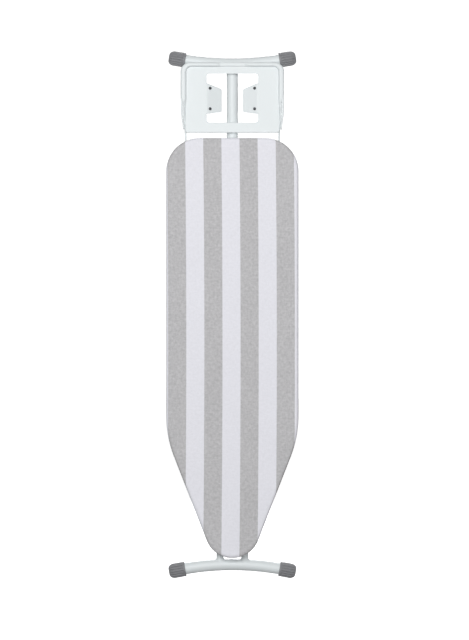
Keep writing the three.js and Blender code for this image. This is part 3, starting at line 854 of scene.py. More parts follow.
def build_pad():
    """The felt pad, with its edge rounded where the cover pulls over it."""
    edge = Edge(400)
    low = Span("felt_pad").z[0]
    profile = [(60, low), (14, low), (2.4, low + 0.1), (2.3, 63.6), (3.3, 65.4), (5.2, 66.8)]
    profile += [(9, 67.5), (16, 67.75), (60, 67.8)]
    rings = [edge.ring(inset, z) for inset, z in profile]
    rings = [spine(rings[0], low)] + rings + [spine(rings[0], 67.8)]
    pad = piece("pad", loft(rings), "board", "felt", ["felt_pad"], sharp=60)


DIAMOND = (14, 30)  # width across and length along the board of one opening's pitch
STRAND = 2.3


def half_width(outline, y):
    """Half the board's width at a y, from the right half of an outline."""
    for a, b in zip(outline, outline[1:]):
        if a.y <= y <= b.y and b.y > a.y:
            return blend(a.x, b.x, (y - a.y) / (b.y - a.y))
    return 0


def build_panel():
    """The expanded steel sheet: diamond openings inside a plain edge."""
    span = Span("mesh_panel")
    outline = half_outline(12)
    wide, long = DIAMOND
    reach = math.hypot(wide, long) / 2
    shrink = 1 - STRAND * reach / (wide * long / 2)
    form = Form()
    columns = int(HALF_WIDTH / (wide / 2))
    rows = range(int(span.y[0] / (long / 2)), int(span.y[1] / (long / 2)))
    for j in rows:
        for i in range(-columns, columns + 1):
            if (i + j) % 2 == 0:
                continue
            x, y = i * wide / 2, j * long / 2
            room = min(half_width(outline, y - long / 2), half_width(outline, y + long / 2))
            if abs(x) + wide / 2 > room:
                continue
            corners = [(wide / 2, 0), (0, long / 2), (-wide / 2, 0), (0, -long / 2)]
            cell = Form()
            for share in (1, shrink):
                for a, b in corners:
                    tilt = 0.35 * (1 if b > 0 else -1) * (share != 1) * (b != 0)
                    cell.points.append((x + a * share, y + b * share, span.z[1] - 0.45 + tilt))
            cell.faces = [(k, (k + 1) % 4, (k + 1) % 4 + 4, k + 4) for k in range(4)]
            form.add(cell)
    panel = piece("panel", form, "board", "frame_paint", ["mesh_panel"], sharp=50, faced=False)
    steel = panel.modifiers.new("steel", "SOLIDIFY")
    steel.thickness = 0.5 * MM
    steel.offset = 0
    edge = Edge(400)
    band = [(2.1, span.z[0] + 0.1), (2.1, span.z[1] - 0.1), (26, span.z[1] - 0.1)]
    band.append((26, span.z[0] + 0.1))
    rings = [edge.ring(inset, z) for inset, z in band]
    piece("panel_edge", loft(rings, ring_on=True), "board", "frame_paint", bevel=0.15)


# ------------------------------------------------------------------ rim, braces and rail


def build_rim():
    """The rim tube in four lengths."""
    right = [Vector((p.x, p.y, 0)) for p in half_outline(RIM_INSET)]
    z = Span("rim_tail_bow").centre().z

    def between(low, high, hand):
        """The tube's line on one side of the board, from one y to another."""
        dense = [Vector((hand * p.x, p.y, z)) for p in spaced(right, 360)]
        return [p for p in dense if low < p.y < high]

    tail_end = Span("rim_tail_bow").y[0]
    nose_end = Span("rim_nose_bow").y[1] - RIM_R * math.sin(TAPER)
    far = 1000
    tail = between(tail_end, far, 1) + between(tail_end, far, -1)[-2::-1]
    nose = between(-far, nose_end, -1)[::-1] + between(-far, nose_end, 1)[1:]
    lengths = [("rim_tail", "rim_tail_bow", tail), ("rim_nose", "rim_nose_bow", nose)]
    for side, hand in SIDES:
        straight = between(nose_end + 4, tail_end - 1, hand)
        lengths.append((f"rim_{side}", f"rim_side_{side}", straight))
    for name, node, path in lengths:
        tube = swept(path, RIM_R, RIM_R - RIM_WALL, 24)
        piece(name, tube, "board", "frame_paint", [node])


def build_braces():
    """Shallow channels across the board, each with a pressed rib and lightening slots."""
    for place in ("tail", "middle", "nose"):
        span = Span(f"cross_brace_{place}")
        y = span.centre().y
        half = span.x[1]
        top, low = span.z[1], span.z[0]
        section = rounded([
            (span.y[0], low, 0),
            (span.y[0] + 1.5, low, 0),
            (span.y[0] + 1.5, top - 1.5, 1),
            (span.y[1] - 1.5, top - 1.5, 1),
            (span.y[1] - 1.5, low, 0),
            (span.y[1], low, 0),
            (span.y[1], top, 2.2),
            (span.y[0], top, 2.2),
        ], math.radians(15))
        form = slab(section, -half, half, "yz")
        for hand in (-1, 1):
            bead = [(hand * (half - 0.8), y - 13, low + 3), (hand * (half - 0.8), y + 13, low + 3)]
            form.add(welded(bead, 1.1))
        name = f"brace_{place}"
        piece(name, form, "board", "frame_paint", [f"cross_brace_{place}"], bevel=0.25)


def welded(path, radius):
    """A bead of weld along a line: uneven little ripples."""
    points = spaced([Vector(p) for p in path], max(6, int(4 * len(path))))
    rings = []
    for i, here in enumerate(points):
        along = points[min(i + 1, len(points) - 1)] - points[max(i - 1, 0)]
        side = along.orthogonal().normalized()
        rise = side.cross(along).normalized()
        ends = math.sin(math.pi * min(1, max(0.08, i / (len(points) - 1) * 0.84 + 0.08)))
        r = radius * ends * (1 + 0.12 * math.sin(i * 2.4))
        angles = [2 * math.pi * k / 10 for k in range(10)]
        rings.append([here + (side * math.cos(a) + rise * math.sin(a)) * r for a in angles])
    return loft(rings, caps=True)


def build_slide_rail():
    """The C rail, rolled from sheet with rounded bends, and its two end stops."""
    span = Span("slide_rail")
    half, low, top = span.x[1], span.z[0], span.z[1]
    wall = 2
    slot = 24.5
    right = [
        (slot, low, 0.6),
        (half, low, 2.4),
        (half, top, 2.4),
    ]
    inside = [
        (half - wall, top - wall, 0.8),
        (half - wall, low + wall, 0.8),
        (slot, low + wall, 0.6),
    ]
    left = [(-x, z, r) for x, z, r in reversed(right)]
    left_inside = [(-x, z, r) for x, z, r in reversed(inside)]
    section = rounded(right + left + left_inside + inside, math.radians(15))
    rail = slab(section, *span.y, "xz")
    for y in (span.y[0] + 60, sum(span.y) / 2, span.y[1] - 60):
        dimple = [(0, -0.3), (3.4, -0.3), (4.2, 0.2), (2.0, 0.9), (0, 1.1)]
        rail.add(turned(dimple, (0, y, top - wall - 0.3), (0, 0, -1), 24))
    piece("rail", rail, "board", "frame_paint", ["slide_rail"], bevel=0.2)
    for place in ("nose", "tail"):
        stop = Span(f"rail_stop_{place}")
        outline = rectangle(stop.x, stop.z, 3)
        form = slab(outline, *stop.y, "xz", holes=[rectangle((-14, 14), (44.5, 51), 2)[::-1]])
        piece(f"stop_{place}", form, "board", "grey_plastic", [f"rail_stop_{place}"], bevel=0.6)


# ------------------------------------------------------------------ hinge, clip, guides


def ear(across, along, up, pin_y, pin_z, radius=SHAFT_BORE):
    """A hanging ear with a rounded end and a bore for a pin."""
    low, top = up
    y0, y1 = along
    outline = rounded([(y0, low, 9), (y1, low, 9), (y1, top, 0), (y0, top, 0)])
    return slab(outline, *across, "yz", holes=[hole((pin_y, pin_z), radius)])


HINGE_EARS = ((21, 23.5), (50.5, 53))  # where each pair of ears starts and ends, going out
RIVET_X = 36


def build_leg_hinge():
    """The hinge bracket under the tail brace and its two headed pins."""
    span = Span("leg_hinge_bracket")
    centre = span.centre()
    under = span.z[1] - 2.3
    form = slab(rectangle(span.x, span.y, 5), under, span.z[1])
    for near, far in HINGE_EARS:
        for across in ((near, far), (-far, -near)):
            form.add(ear(across, span.y, (span.z[0], under + 1), centre.y, LEG_Z))
    for x in (-RIVET_X, RIVET_X):
        head = [(0, 0), (5.5, 0), (5.5, 0.6), (4.4, 1.8), (2, 2.4), (0, 2.5)]
        form.add(turned(head, (x, centre.y, under), (0, 0, -1), 24))
    piece("hinge_bracket", form, "board", "zinc", ["leg_hinge_bracket"], bevel=0.3)
    for side, hand in SIDES:
        pin = Span(f"hinge_pin_{side}")
        ends = sorted((abs(x) for x in pin.x))
        length = ends[1] - ends[0] - 2
        profile = [(0, 0), (2, 0), (PIN_R - 0.2, 0.8), (PIN_R - 0.2, length), (6.4, length)]
        profile += [(7, length + 0.5), (6.6, length + 1.4), (4, length + 1.9), (0, length + 2)]
        form = turned(profile, (hand * ends[0], centre.y, LEG_Z), (hand, 0, 0))
        piece(f"hinge_rivet_{side}", form, "board", "zinc", [f"hinge_pin_{side}"])


def build_storage_clip():
    """The open clip that holds the single tube when the legs are folded."""
    span = Span("storage_clip")
    outer, low, top = span.x[1], span.z[0], span.z[1]
    wall = 2.5
    inner = outer - wall
    right = [(outer, top, 4), (outer, low + 5, 3), (outer - 0.3, low, 1)]
    right_inside = [(inner + 0.3, low, 0.8), (inner, low + 5, 3), (inner, top - wall, 2.5)]
    section = right + right_inside
    section += [(-x, z, r) for x, z, r in reversed(section)]
    form = slab(rounded(section, math.radians(12)), *span.y, "xz")
    for y in (span.y[0] + 7, span.y[1] - 7):
        for hand in (-1, 1):
            rib = [(hand * (inner - 4), top - wall - 0.2), (hand * (inner + 0.1), top - wall - 0.2)]
            rib += [(hand * (inner + 0.1), top - wall - 6)]
            form.add(slab(rib, y - 1, y + 1, "xz"))
    piece("tube_clip", form, "board", "grey_plastic", ["storage_clip"], bevel=0.5)


def bored(outline, centre, radius, along):
    """A moulded block drawn in x and z with a round bore along y."""
    return slab(outline, *along, "xz", holes=[hole(centre, radius)])


def build_wire_guides():
    """The two moulded guides that the iron rest's wires slide in."""
    for side in ("left", "right"):
        span = Span(f"wire_guide_{side}")
        x0, x1 = span.x
        z0, z1 = span.z
        outline = rounded([(x0, z1, 0), (x0, z0, 5), (x1, z0, 5), (x1, z1, 0)])
        wire = (span.centre().x, WIRE_Z)
        form = bored(outline, wire, 3.6, span.y)
        for y in (span.y[0] + 7, span.y[1] - 13):
            form.add(slab(rectangle((x0 - 3, x1 + 3), (y, y + 6), 2.5), z1 - 2.5, z1))
        piece(f"guide_{side}", form, "board", "grey_plastic", [f"wire_guide_{side}"], bevel=0.5)


# ------------------------------------------------------------------ legs


def bar_line(bar, detail=30):
    """A foot bar's centre line: bowed in the middle, straight at the ends."""
    bend = math.asin(BAR_BEND_X / bar["bow"])
    line = []
    for i in range(detail + 1):
        angle = bend * (2 * i / detail - 1)
        sag = bar["bow"] * (1 - math.cos(angle))
        line.append(Vector((bar["bow"] * math.sin(angle), bar["y"] + bar["side"] * sag, LEG_Z)))
    outward = Vector((math.cos(bend), bar["side"] * math.sin(bend), 0))
    right = line[-1] + outward * BAR_REACH
    left = Vector((-right.x, right.y, right.z))
    return [left] + line + [right], outward


def bar_y(bar, x):
    """Where the bowed part of a foot bar's centre line is at an x."""
    return bar["y"] + bar["side"] * (bar["bow"] - math.sqrt(bar["bow"] ** 2 - x * x))


def saddle(bar, x, radius, spread):
    """The fillet of weld where a tube meets a foot bar."""
    toward = -bar["side"]
    rings = []
    for grow, back in ((-0.4, spread + 1.5), (0.05, spread), (spread * 0.12, spread * 0.5),
                       (spread * 0.38, spread * 0.16), (spread * 0.8, 0.0), (spread, -0.9)):
        ring = []
        for i in range(64):
            angle = 2 * math.pi * i / 64
            ripple = 0.12 * math.sin(9 * angle) if 0 < grow < spread else 0
            r = radius + grow + ripple
            px = x + r * math.cos(angle)
            pz = r * math.sin(angle)
            pz = max(-BAR_R + 0.6, min(BAR_R - 0.6, pz)) if grow > 0.1 else pz
            on_bar = math.sqrt(max(0.0, BAR_R ** 2 - min(abs(pz), BAR_R) ** 2))
            ring.append((px, bar_y(bar, px) + toward * (on_bar + back), LEG_Z + pz))
        rings.append(ring)
    return loft(rings)


def straight_tube(x, y0, y1, radius, wall):
    """A leg tube along the board."""
    steps = 12
    path = [(x, blend(y0, y1, i / steps), LEG_Z) for i in range(steps + 1)]
    return swept(path, radius, radius - wall, 48)


def foot_bar(bar, joints):
    """A foot bar with the fillets of the tubes that are welded to it."""
    line, _ = bar_line(bar)
    form = swept(line, BAR_R, BAR_R - 1.5, 48)
    for x, radius, spread in joints:
        form.add(saddle(bar, x, radius, spread))
    return form


def foot_cap(bar, hand):
    """A fluted foot cap: a plain collar, lengthwise ribs and a domed end."""
    line, outward = bar_line(bar)
    direction = Vector((outward.x * hand, outward.y, 0))
    tip = Vector((line[-1].x * hand, line[-1].y, LEG_Z))
    inside = BAR_REACH + 0.3
    mouth = tip + direction * (0.3 - inside)
    body = CAP_R - 0.25
    outside = [
        (BAR_R + 0.3, 0.6, 0),
        (CAP_R - 1.0, 0, 0),
        (CAP_R - 0.2, 0.5, 0),
        (CAP_R, 1.4, 0),
        (CAP_R, 4.6, 0),
        (CAP_R - 0.3, 5.6, 0),
        (body - 0.5, 6.3, 0),
        (body - 0.3, 7.4, 0.4),
    ]
    outside += [(body, along, 1) for along in (8.6, 15, 22, 29, CAP_LENGTH - CAP_DOME)]
    steps = 10
    for k in range(1, steps + 1):
        angle = math.pi / 2 * k / steps
        radius = body - 13.5 * (1 - math.cos(angle))
        fade = 1 - smoothstep(0.35, 0.85, k / steps)
        along = CAP_LENGTH - CAP_DOME + CAP_DOME * math.sin(angle)
        outside.append((radius, along, fade))
    outside += [(6, CAP_LENGTH, 0), (0, CAP_LENGTH, 0)]
    hollow = [(0, inside, 0), (BAR_R + 0.3, inside, 0), (BAR_R + 0.3, 0.6, 0)]
    rings = outside + hollow

    def fluted(angle, radius, number):
        """Sinks grooves into the part of the cap that has them."""
        phase = (angle * FLUTES / (2 * math.pi)) % 1
        groove = math.exp(-(((phase - 0.5) / FLUTE_HALF) ** 4))
        return radius - FLUTE_DEPTH * groove * rings[number][2]

    profile = [(radius, along) for radius, along, _ in rings]
    return turned(profile, mouth, direction, FLUTES * 10, fluted, ring_on=True)


def build_outer_leg():
    """The twin tubes, the nose foot bar and the plugs in the tubes' open ends."""
    joints = []
    for side in ("left", "right"):
        span = Span(f"outer_tube_{side}")
        x = span.centre().x
        radius = (span.x[1] - span.x[0]) / 2
        low = bar_y(NOSE_BAR, x) + BAR_R - 4
        form = straight_tube(x, low, span.y[1], radius, 1.2)
        piece(f"twin_tube_{side}", form, "outer_leg", "white_paint", [f"outer_tube_{side}"])
        build_plug(f"outer_tube_plug_{side}", "outer_leg", radius, 1)
        joints.append((x, radius, 5.5))
    bar = foot_bar(NOSE_BAR, joints)
    piece("nose_foot_bar", bar, "outer_leg", "white_paint", ["outer_foot_bar"])


def build_inner_leg():
    """The single tube, the tail foot bar and the plug in the tube's open end."""
    span = Span("inner_tube")
    radius = (span.x[1] - span.x[0]) / 2
    form = straight_tube(0, span.y[0], bar_y(TAIL_BAR, 0) - BAR_R + 8, radius, 1.2)
    piece("single_tube", form, "inner_leg", "white_paint", ["inner_tube"])
    build_plug("inner_tube_plug", "inner_leg", radius, -1)
    bar = foot_bar(TAIL_BAR, [(0, radius, 4)])
    piece("tail_foot_bar", bar, "inner_leg", "white_paint", ["inner_foot_bar"])


def build_plug(node, body, radius, hand):
    """A ribbed plug pressed into a tube's end, with a low domed flange."""
    span = Span(node)
    centre = span.centre()
    end = span.y[1] if hand > 0 else span.y[0]
    flange = radius - 0.5
    profile = [
        (0, -4.2),
        (radius - 1.7, -4.2),
        (radius - 1.6, -1.5),
        (flange - 0.2, -1.5),
        (flange, -1.1),
        (flange - 0.3, -0.5),
        (flange - 1.6, -0.1),
        (0, 0),
    ]
    form = turned(profile, (centre.x, end, LEG_Z), (0, hand, 0))
    piece(node.replace("_tube", "") + "_cap", form, body, "grey_plastic", [node])


def build_foot_caps():
    """The four fluted foot caps."""
    for leg, bar in (("outer", NOSE_BAR), ("inner", TAIL_BAR)):
        for side, hand in SIDES:
            node = f"{leg}_foot_cap_{side}"
            name = f"{'nose' if leg == 'outer' else 'tail'}_foot_{side}"
            piece(name, foot_cap(bar, hand), f"{leg}_leg", "grey_plastic", [node])


def build_cross_joint():
    """The bolt, lock nut and spacers where the legs cross."""
    bolt = Span("cross_bolt")
    y = bolt.centre().y
    nut = Span("cross_nut")
    head = nut.x[0]
    start = (bolt.x[0], y, LEG_Z)
    hexed = [(0, 0), (5.6, 0), (6.6, 0.5), (6.9, 1.1), (6.9, 3.2), (0, 3.2)]
    washer = [(0, 3.2), (7, 3.2), (7, 3.95), (0, 3.95)]
    long = bolt.x[1] - bolt.x[0]
    shank = [(0, 3.9), (PIN_R - 0.2, 3.9), (PIN_R - 0.2, long - 3)]
    for i in range(4):
        along = long - 3 + i * 0.7
        shank += [(PIN_R - 0.2, along), (PIN_R - 0.55, along + 0.35)]
    shank += [(PIN_R - 0.9, long), (0, long)]
    form = turned(hexed, start, (1, 0, 0), 48, hexagon)
    form.add(turned(washer, start, (1, 0, 0)))
    form.add(turned(shank, start, (1, 0, 0), 32))
    piece("leg_bolt", form, "outer_leg", "zinc", ["cross_bolt"], bevel=0.12)
    outer = [(PIN_R, 0), (6.6, 0), (7, 0.5), (7, 3.6), (6.4, 4.1)]
    collar = [(5.6, 4.3), (5.5, 5.2), (4.9, 5.7), (PIN_R, 5.8)]

    def nut_shape(angle, radius, number):
        """Six-sided below, and round at the collar."""
        return hexagon(angle, radius, number) if 1 <= number <= 4 else radius

    form = turned(outer + collar + [(PIN_R, 0)], (head, y, LEG_Z), (1, 0, 0), 48, nut_shape, True)
    piece("leg_nut", form, "outer_leg", "zinc", ["cross_nut"])
    for side, hand in SIDES:
        span = Span(f"cross_spacer_{side}")
        length = span.x[1] - span.x[0]
        near = min(abs(edge) for edge in span.x)
        profile = [(4.2, 0.3), (4.5, 0), (7.5, 0), (8, 0.6), (8, length - 0.6), (7.5, length)]
        profile += [(4.5, length), (4.2, length - 0.3)]
        form = turned(profile, (hand * near, y, LEG_Z), (hand, 0, 0), 40, None, True)
        piece(f"spacer_{side}", form, "outer_leg", "grey_plastic", [f"cross_spacer_{side}"])


# ------------------------------------------------------------------ carriage and height lock


def build_carriage():
    """The moulded carriage with its fork, its pivot pin and the lock pin."""
    span = Span("carriage_block")
    centre = span.centre()
    slab_low = 43.4
    top = span.z[1]
    pocket = [rectangle((6, 18), (centre.y - 15, centre.y + 15), 2)[::-1]]
    pocket.append([(-x, y) for x, y in pocket[0]][::-1])
    form = slab(rectangle(span.x, span.y, 4), slab_low + 2, top, holes=pocket)
    form.add(slab(rectangle(span.x, span.y, 4), slab_low, slab_low + 2.2))
    fork = (18.5, 21.5)
    for hand in (1, -1):
        across = sorted(hand * x for x in fork)
        along = (centre.y - 13, centre.y + 13)
        form.add(ear(across, along, (span.z[0], slab_low + 1), centre.y, LEG_Z))
        outer = hand * (fork[1] - 0.1)
        for y in (centre.y - 9, centre.y + 9):
            rib = [(outer, slab_low + 0.5), (outer + hand * 4.5, slab_low + 0.5)]
            rib.append((outer, slab_low - 7))
            form.add(slab(rib, y - 1, y + 1, "xz"))
    piece("carriage", form, "carriage", "grey_plastic", ["carriage_block"], bevel=0.4)
    pin = Span("carriage_pin")
    long = pin.x[1] - pin.x[0]
    profile = [(0, 0), (4.5, 0), (5.8, 0.5), (6, 1.1), (5.8, 1.6), (PIN_R - 0.2, 1.7)]
    profile += [(PIN_R - 0.2, long - 0.8), (PIN_R - 1, long), (0, long)]
    form = turned(profile, (pin.x[0], centre.y, LEG_Z), (1, 0, 0))
    piece("carriage_rivet", form, "carriage", "zinc", ["carriage_pin"])
    lock = Span("lock_pin")
    z = lock.centre().z
    form = rod((lock.x[0], centre.y, z), (lock.x[1], centre.y, z), 2.5, 0.8)
    piece("locking_pin", form, "carriage", "zinc", ["lock_pin"])


RACK_X = 50
RACK_SHEET = 2.5
RACK_WINDOW_Z = (33.9, 46.5)
NOTCH_ANGLES = (0, 35, 37.5, 40, 42.5, 45, 47.5, 50)  # the leg's angle at each notch, degrees
NOTCH_HALF = 3.75
NOTCH_DEPTH = 4.5


def rack_outline(span):
    """The rack's window with one notch for each height, as (y, z) points."""
    edge_z, top_z = RACK_WINDOW_Z
    pivot_y = Span("leg_hinge_bracket").centre().y
    reach = pivot_y - Span("carriage_block").centre().y
    y0, y1 = span.y[0] + 8, span.y[1] - 8
    low = edge_z - NOTCH_DEPTH
    line = [(y1, top_z), (y0, top_z), (y0, edge_z)]
    for degrees in NOTCH_ANGLES:
        y = pivot_y - reach * math.cos(math.radians(degrees))
        near = y - NOTCH_HALF
        far = y + NOTCH_HALF
        line += [(near - 0.6, edge_z), (near, edge_z - 0.8), (near, low + 1), (near + 1, low)]
        line += [(far - 1, low), (far, low + 1), (far, edge_z - 0.8), (far + 0.6, edge_z)]
    line.append((y1, edge_z))
    return line


def build_height_lock():
    """The notched rack on its shaft with the lever that lifts it, its bearings and spring."""
    rack = Span("lock_rack")
    shaft = Span("lock_shaft")
    x, z = shaft.centre().x, shaft.centre().z
    outline = rectangle(rack.y, (rack.z[0], z + 1), 3)
    form = slab(outline, RACK_X, RACK_X + RACK_SHEET, "yz", [rack_outline(rack)])
    form.add(block((RACK_X + 1, x - 6.5), rack.y, (z - 1, z + 1)))
    for along in ((rack.y[0], rack.y[0] + 20), (rack.y[1] - 20, rack.y[1])):
        form.add(sleeve(x, z, along))
    piece("notched_rack", form, "height_lock", "zinc", ["lock_rack"], bevel=0.2)
    bar = rod((x, shaft.y[0], z), (x, shaft.y[1], z), 4, 0.8)
    piece("lever_shaft", bar, "height_lock", "zinc", ["lock_shaft"])

    lever = Span("lever_arm")
    mid = lever.centre().y

    def droop(p):
        """Turns the lever down about the shaft."""
        arm = Vector((p.x - x, p.z - z))
        arm.rotate(turn_matrix(-LEVER_DROOP))
        return (x + arm.x, p.y, z + arm.y)

    flat = [(x + 5, -7, 0), (104, -7, 3), (150, -5.5, 4), (150, 5.5, 4), (104, 7, 3), (x + 5, 7, 0)]
    outline = rounded([(a, mid + b, r) for a, b, r in flat])
    arm = slab(outline, z - 1.5, z + 1.5).moved(droop)
    arm.add(sleeve(x, z, lever.y))
    piece("lever", arm, "height_lock", "zinc", ["lever_arm"], bevel=0.3)
    grip = Form()
    rings = []
    for i in range(41):
        t = i / 40
        along = 104 + 52 * t
        end = min(1, math.sqrt(max(0.02, 1 - (abs(2 * t - 1)) ** 9)))
        rib = 0.45 * max(0, math.sin(2 * math.pi * (along - 112) / 5)) if 112 < along < 146 else 0
        ring = []
        for k in range(40):
            angle = 2 * math.pi * k / 40
            c, s = math.cos(angle), math.sin(angle)
            wide = (11 - 1.2 * math.sin(math.pi * t)) * end
            py = wide * math.copysign(abs(c) ** 0.7, c)
            pz = (4.9 - rib) * end * math.copysign(abs(s) ** 0.55, s)
            ring.append((along, mid + py, z + pz))
        rings.append(ring)
    grip.add(loft(rings, caps=True))
    piece("lever_handle", grip.moved(droop), "height_lock", "grey_plastic", ["lever_grip"])

    for place in ("nose", "tail"):
        span = Span(f"lock_bearing_{place}")
        outline = rounded([
            (span.x[0], span.z[1], 0),
            (span.x[0], span.z[0], 6),
            (span.x[1], span.z[0], 6),
            (span.x[1], span.z[1], 0),
        ])
        form = bored(outline, (x, z), SHAFT_BORE, span.y)
        piece(f"shaft_bearing_{place}", form, "board", "grey_plastic", [f"lock_bearing_{place}"],
              bevel=0.5)
    build_lock_spring(x, z)


def sleeve(x, z, along):
    """A short tube on the lock shaft."""
    y0, y1 = along
    long = y1 - y0
    profile = [(SHAFT_BORE, 0), (SLEEVE_R - 0.5, 0), (SLEEVE_R, 0.5), (SLEEVE_R, long - 0.5)]
    profile += [(SLEEVE_R - 0.5, long), (SHAFT_BORE, long)]
    return turned(profile, (x, y0, z), (0, 1, 0), 40, None, True)


def build_lock_spring(x, z):
    """The return spring round the shaft, with a short leg at each end."""
    span = Span("lock_spring")
    turns = 11
    wire = 0.8
    radius = 6.4 - wire
    steps = turns * 24
    path = []
    for i in range(steps + 1):
        angle = 2 * math.pi * i / 24
        y = blend(span.y[0] + wire, span.y[1] - wire, i / steps)
        path.append((x + radius * math.cos(angle), y, z + radius * math.sin(angle)))
    form = swept(path, wire, 0, 10, up=(0, 1, 0))
    piece("return_spring", form, "board", "zinc", ["lock_spring"])


# ------------------------------------------------------------------ iron rest


WIRE_LINE = [
    (143.6, 640, 55.0),
    (143.6, 632, 55.0),
    (143.5, 610, 54.5),
    (143.1, 590, 52.6),
    (142.0, 572, 48.9),
    (140.2, 552, 43.9),
    (139.2, 538, 41.6),
    (139.0, 524, 40.9),
    (139.0, 505, WIRE_Z),
    (139.0, 470, WIRE_Z),
    (139.0, 420, WIRE_Z),
    (139.0, 370, WIRE_Z),
    (139.3, 357, WIRE_Z),
    (140.9, 352.6, WIRE_Z),
    (144.5, 350.3, WIRE_Z),
    (149.0, 350.0, WIRE_Z),
    (153.8, 350.0, WIRE_Z),
]


def wire_x(y):
    """How far out the wire runs at a y beside the tray."""
    for (x0, y0, _), (x1, y1, _) in zip(WIRE_LINE, WIRE_LINE[1:]):
        if y1 <= y <= y0:
            return blend(x0, x1, (y0 - y) / (y0 - y1))
    return WIRE_LINE[0][0]


def from_middle(outline, centre, angle):
    """How far a closed outline is from a centre in a direction."""
    ray = Vector((math.cos(angle), math.sin(angle)))
    best = 0
    for i, p in enumerate(outline):
        q = outline[(i + 1) % len(outline)]
        a = Vector(p) - centre
        edge = Vector(q) - Vector(p)
        cross = ray.x * edge.y - ray.y * edge.x
        if abs(cross) < 1e-9:
            continue
        along = (a.x * edge.y - a.y * edge.x) / cross
        share = (a.x * ray.y - a.y * ray.x) / cross
        if along > 0 and -1e-6 <= share <= 1 + 1e-6:
            best = max(best, along)
    return centre + ray * best


def tray_outline(side, tail, radius, neck, neck_y):
    """The pressed tray's outline at one line of its section: wide along the lip, narrower
    where the floor runs on beside the wires."""
    return rounded([
        (-neck, neck_y, 7),
        (neck, neck_y, 7),
        (neck, 616, 8),
        (side, 640, 10),
        (side, tail, radius),
        (-side, tail, radius),
        (-side, 640, 10),
        (-neck, 616, 8),
    ])


def tray_sheet():
    """The tray's floor, its raised lip and the edge of its window."""
    span = Span("iron_tray")
    half, far = span.x[1], span.y[1]
    window = rectangle((-WINDOW_X, WINDOW_X), WINDOW_Y, 9)
    edge = rectangle((-78.3, 78.3), (566.9, 715.8), 10.8)
    # half-width of the neck, insets at the side and tail, tail corner radius, step in from the
    # near edge, share of the lip's rise, and rise along the neck
    lines = (
        (134.8, 19.5, 13.5, 14, 5, 0, 0.0),
        (137.0, 17.4, 12.3, 15.5, 2.6, -0.05, 0.0),
        (138.3, 15.8, 11.4, 16.5, 1.8, 0.1, -0.1),
        (138.9, 14.9, 10.8, 17.2, 1.2, 0.5, -0.3),
        (139.3, 14.0, 10.1, 18.0, 0.9, 0.84, -0.5),
        (139.6, 12.4, 8.8, 19.0, 0.6, 0.97, -0.8),
        (139.8, 9.0, 6.4, 21.5, 0.5, 1.0, -0.9),
        (139.9, 4.2, 3.8, 24.0, 0.3, 0.98, -1.1),
        (140.0, 1.7, 1.7, 25.5, 0.1, 0.84, -1.5),
        (140.1, 0.5, 0.5, 26.6, 0, 0.55, -2.0),
        (140.1, 0, 0, 27.0, 0, 0.0, -3.0),
    )
    flat = rectangle((-79.8, 79.8), (565.4, 717.3), 12.3)
    sections = [(window, 0, -0.7), (edge, 0, 0.0), (flat, 0, 0.0)]
    sections.append((tray_outline(half - 21, far - 15, 15, 132.8, TRAY_NEAR_Y + 6.4), 0, 0.0))
    for neck, side, tail, radius, step, rise, neck_rise in lines:
        outline = tray_outline(half - side, far - tail, radius, neck, TRAY_NEAR_Y + step)
        sections.append((outline, rise, neck_rise))
    centre = Vector((0, 643))
    angles = set()
    for outline, *_ in (sections[0], sections[4], sections[-1]):
        for x, y in outline:
            angles.add(round(math.atan2(y - centre.y, x - centre.x), 4))
    angles |= {round(-math.pi + 2 * math.pi * i / 180, 4) for i in range(180)}
    rings = []
    for outline, rise, neck_rise in sections:
        ring = []
        for angle in sorted(angles):
            p = from_middle(outline, centre, angle)
            lip = smoothstep(612, 640, p.y) if abs(p.x) > 90 or p.y > 700 else 0
            dip = 1 - smoothstep(37, 45, abs(p.x)) if p.y > 700 else 0
            height = blend(LIP_TOP, LIP_LOW_TOP, dip) - TRAY_FLOOR
            z = TRAY_FLOOR + rise * height * lip + neck_rise * (1 - lip)
            ring.append((p.x, p.y, z))
        rings.append(ring)
    return loft(rings)


def tray_flap(hand):
    """A flap turned down from the window's edge, with a rounded bend and clipped corners."""
    rings = []
    reach = (WINDOW_X - 31.5) / math.cos(FLAP_ANGLE)
    stations = [-3, -1.5, 0, 1.5, 3, 4.5, 8, 14, 22, 30, 38, 44, reach]
    for s in stations:
        bend = FLAP_ANGLE * smoothstep(-1.5, 4.5, s)
        if s <= 4.5:
            x = WINDOW_X - s * math.cos(bend / 2)
            z = -max(0, s + 1.5) * math.sin(bend / 2)
        else:
            x = WINDOW_X - s * math.cos(FLAP_ANGLE)
            z = -(s - 1.5) * math.sin(FLAP_ANGLE)
        t = max(0, s) / reach
        low = blend(594, 601, t)
        high = blend(687, 669, t)
        corner = 2.0 * max(0, 1 - (reach - s) / 2.5) if s > reach - 2.5 else 0
        ys = [low + corner] + [blend(low, high, k / 12) for k in range(1, 12)] + [high - corner]
        rings.append([(hand * x, y, TRAY_FLOOR + z) for y in ys])
    if hand < 0:
        rings = [ring[::-1] for ring in rings]
    return loft([ring[::-1] for ring in rings], around=False)


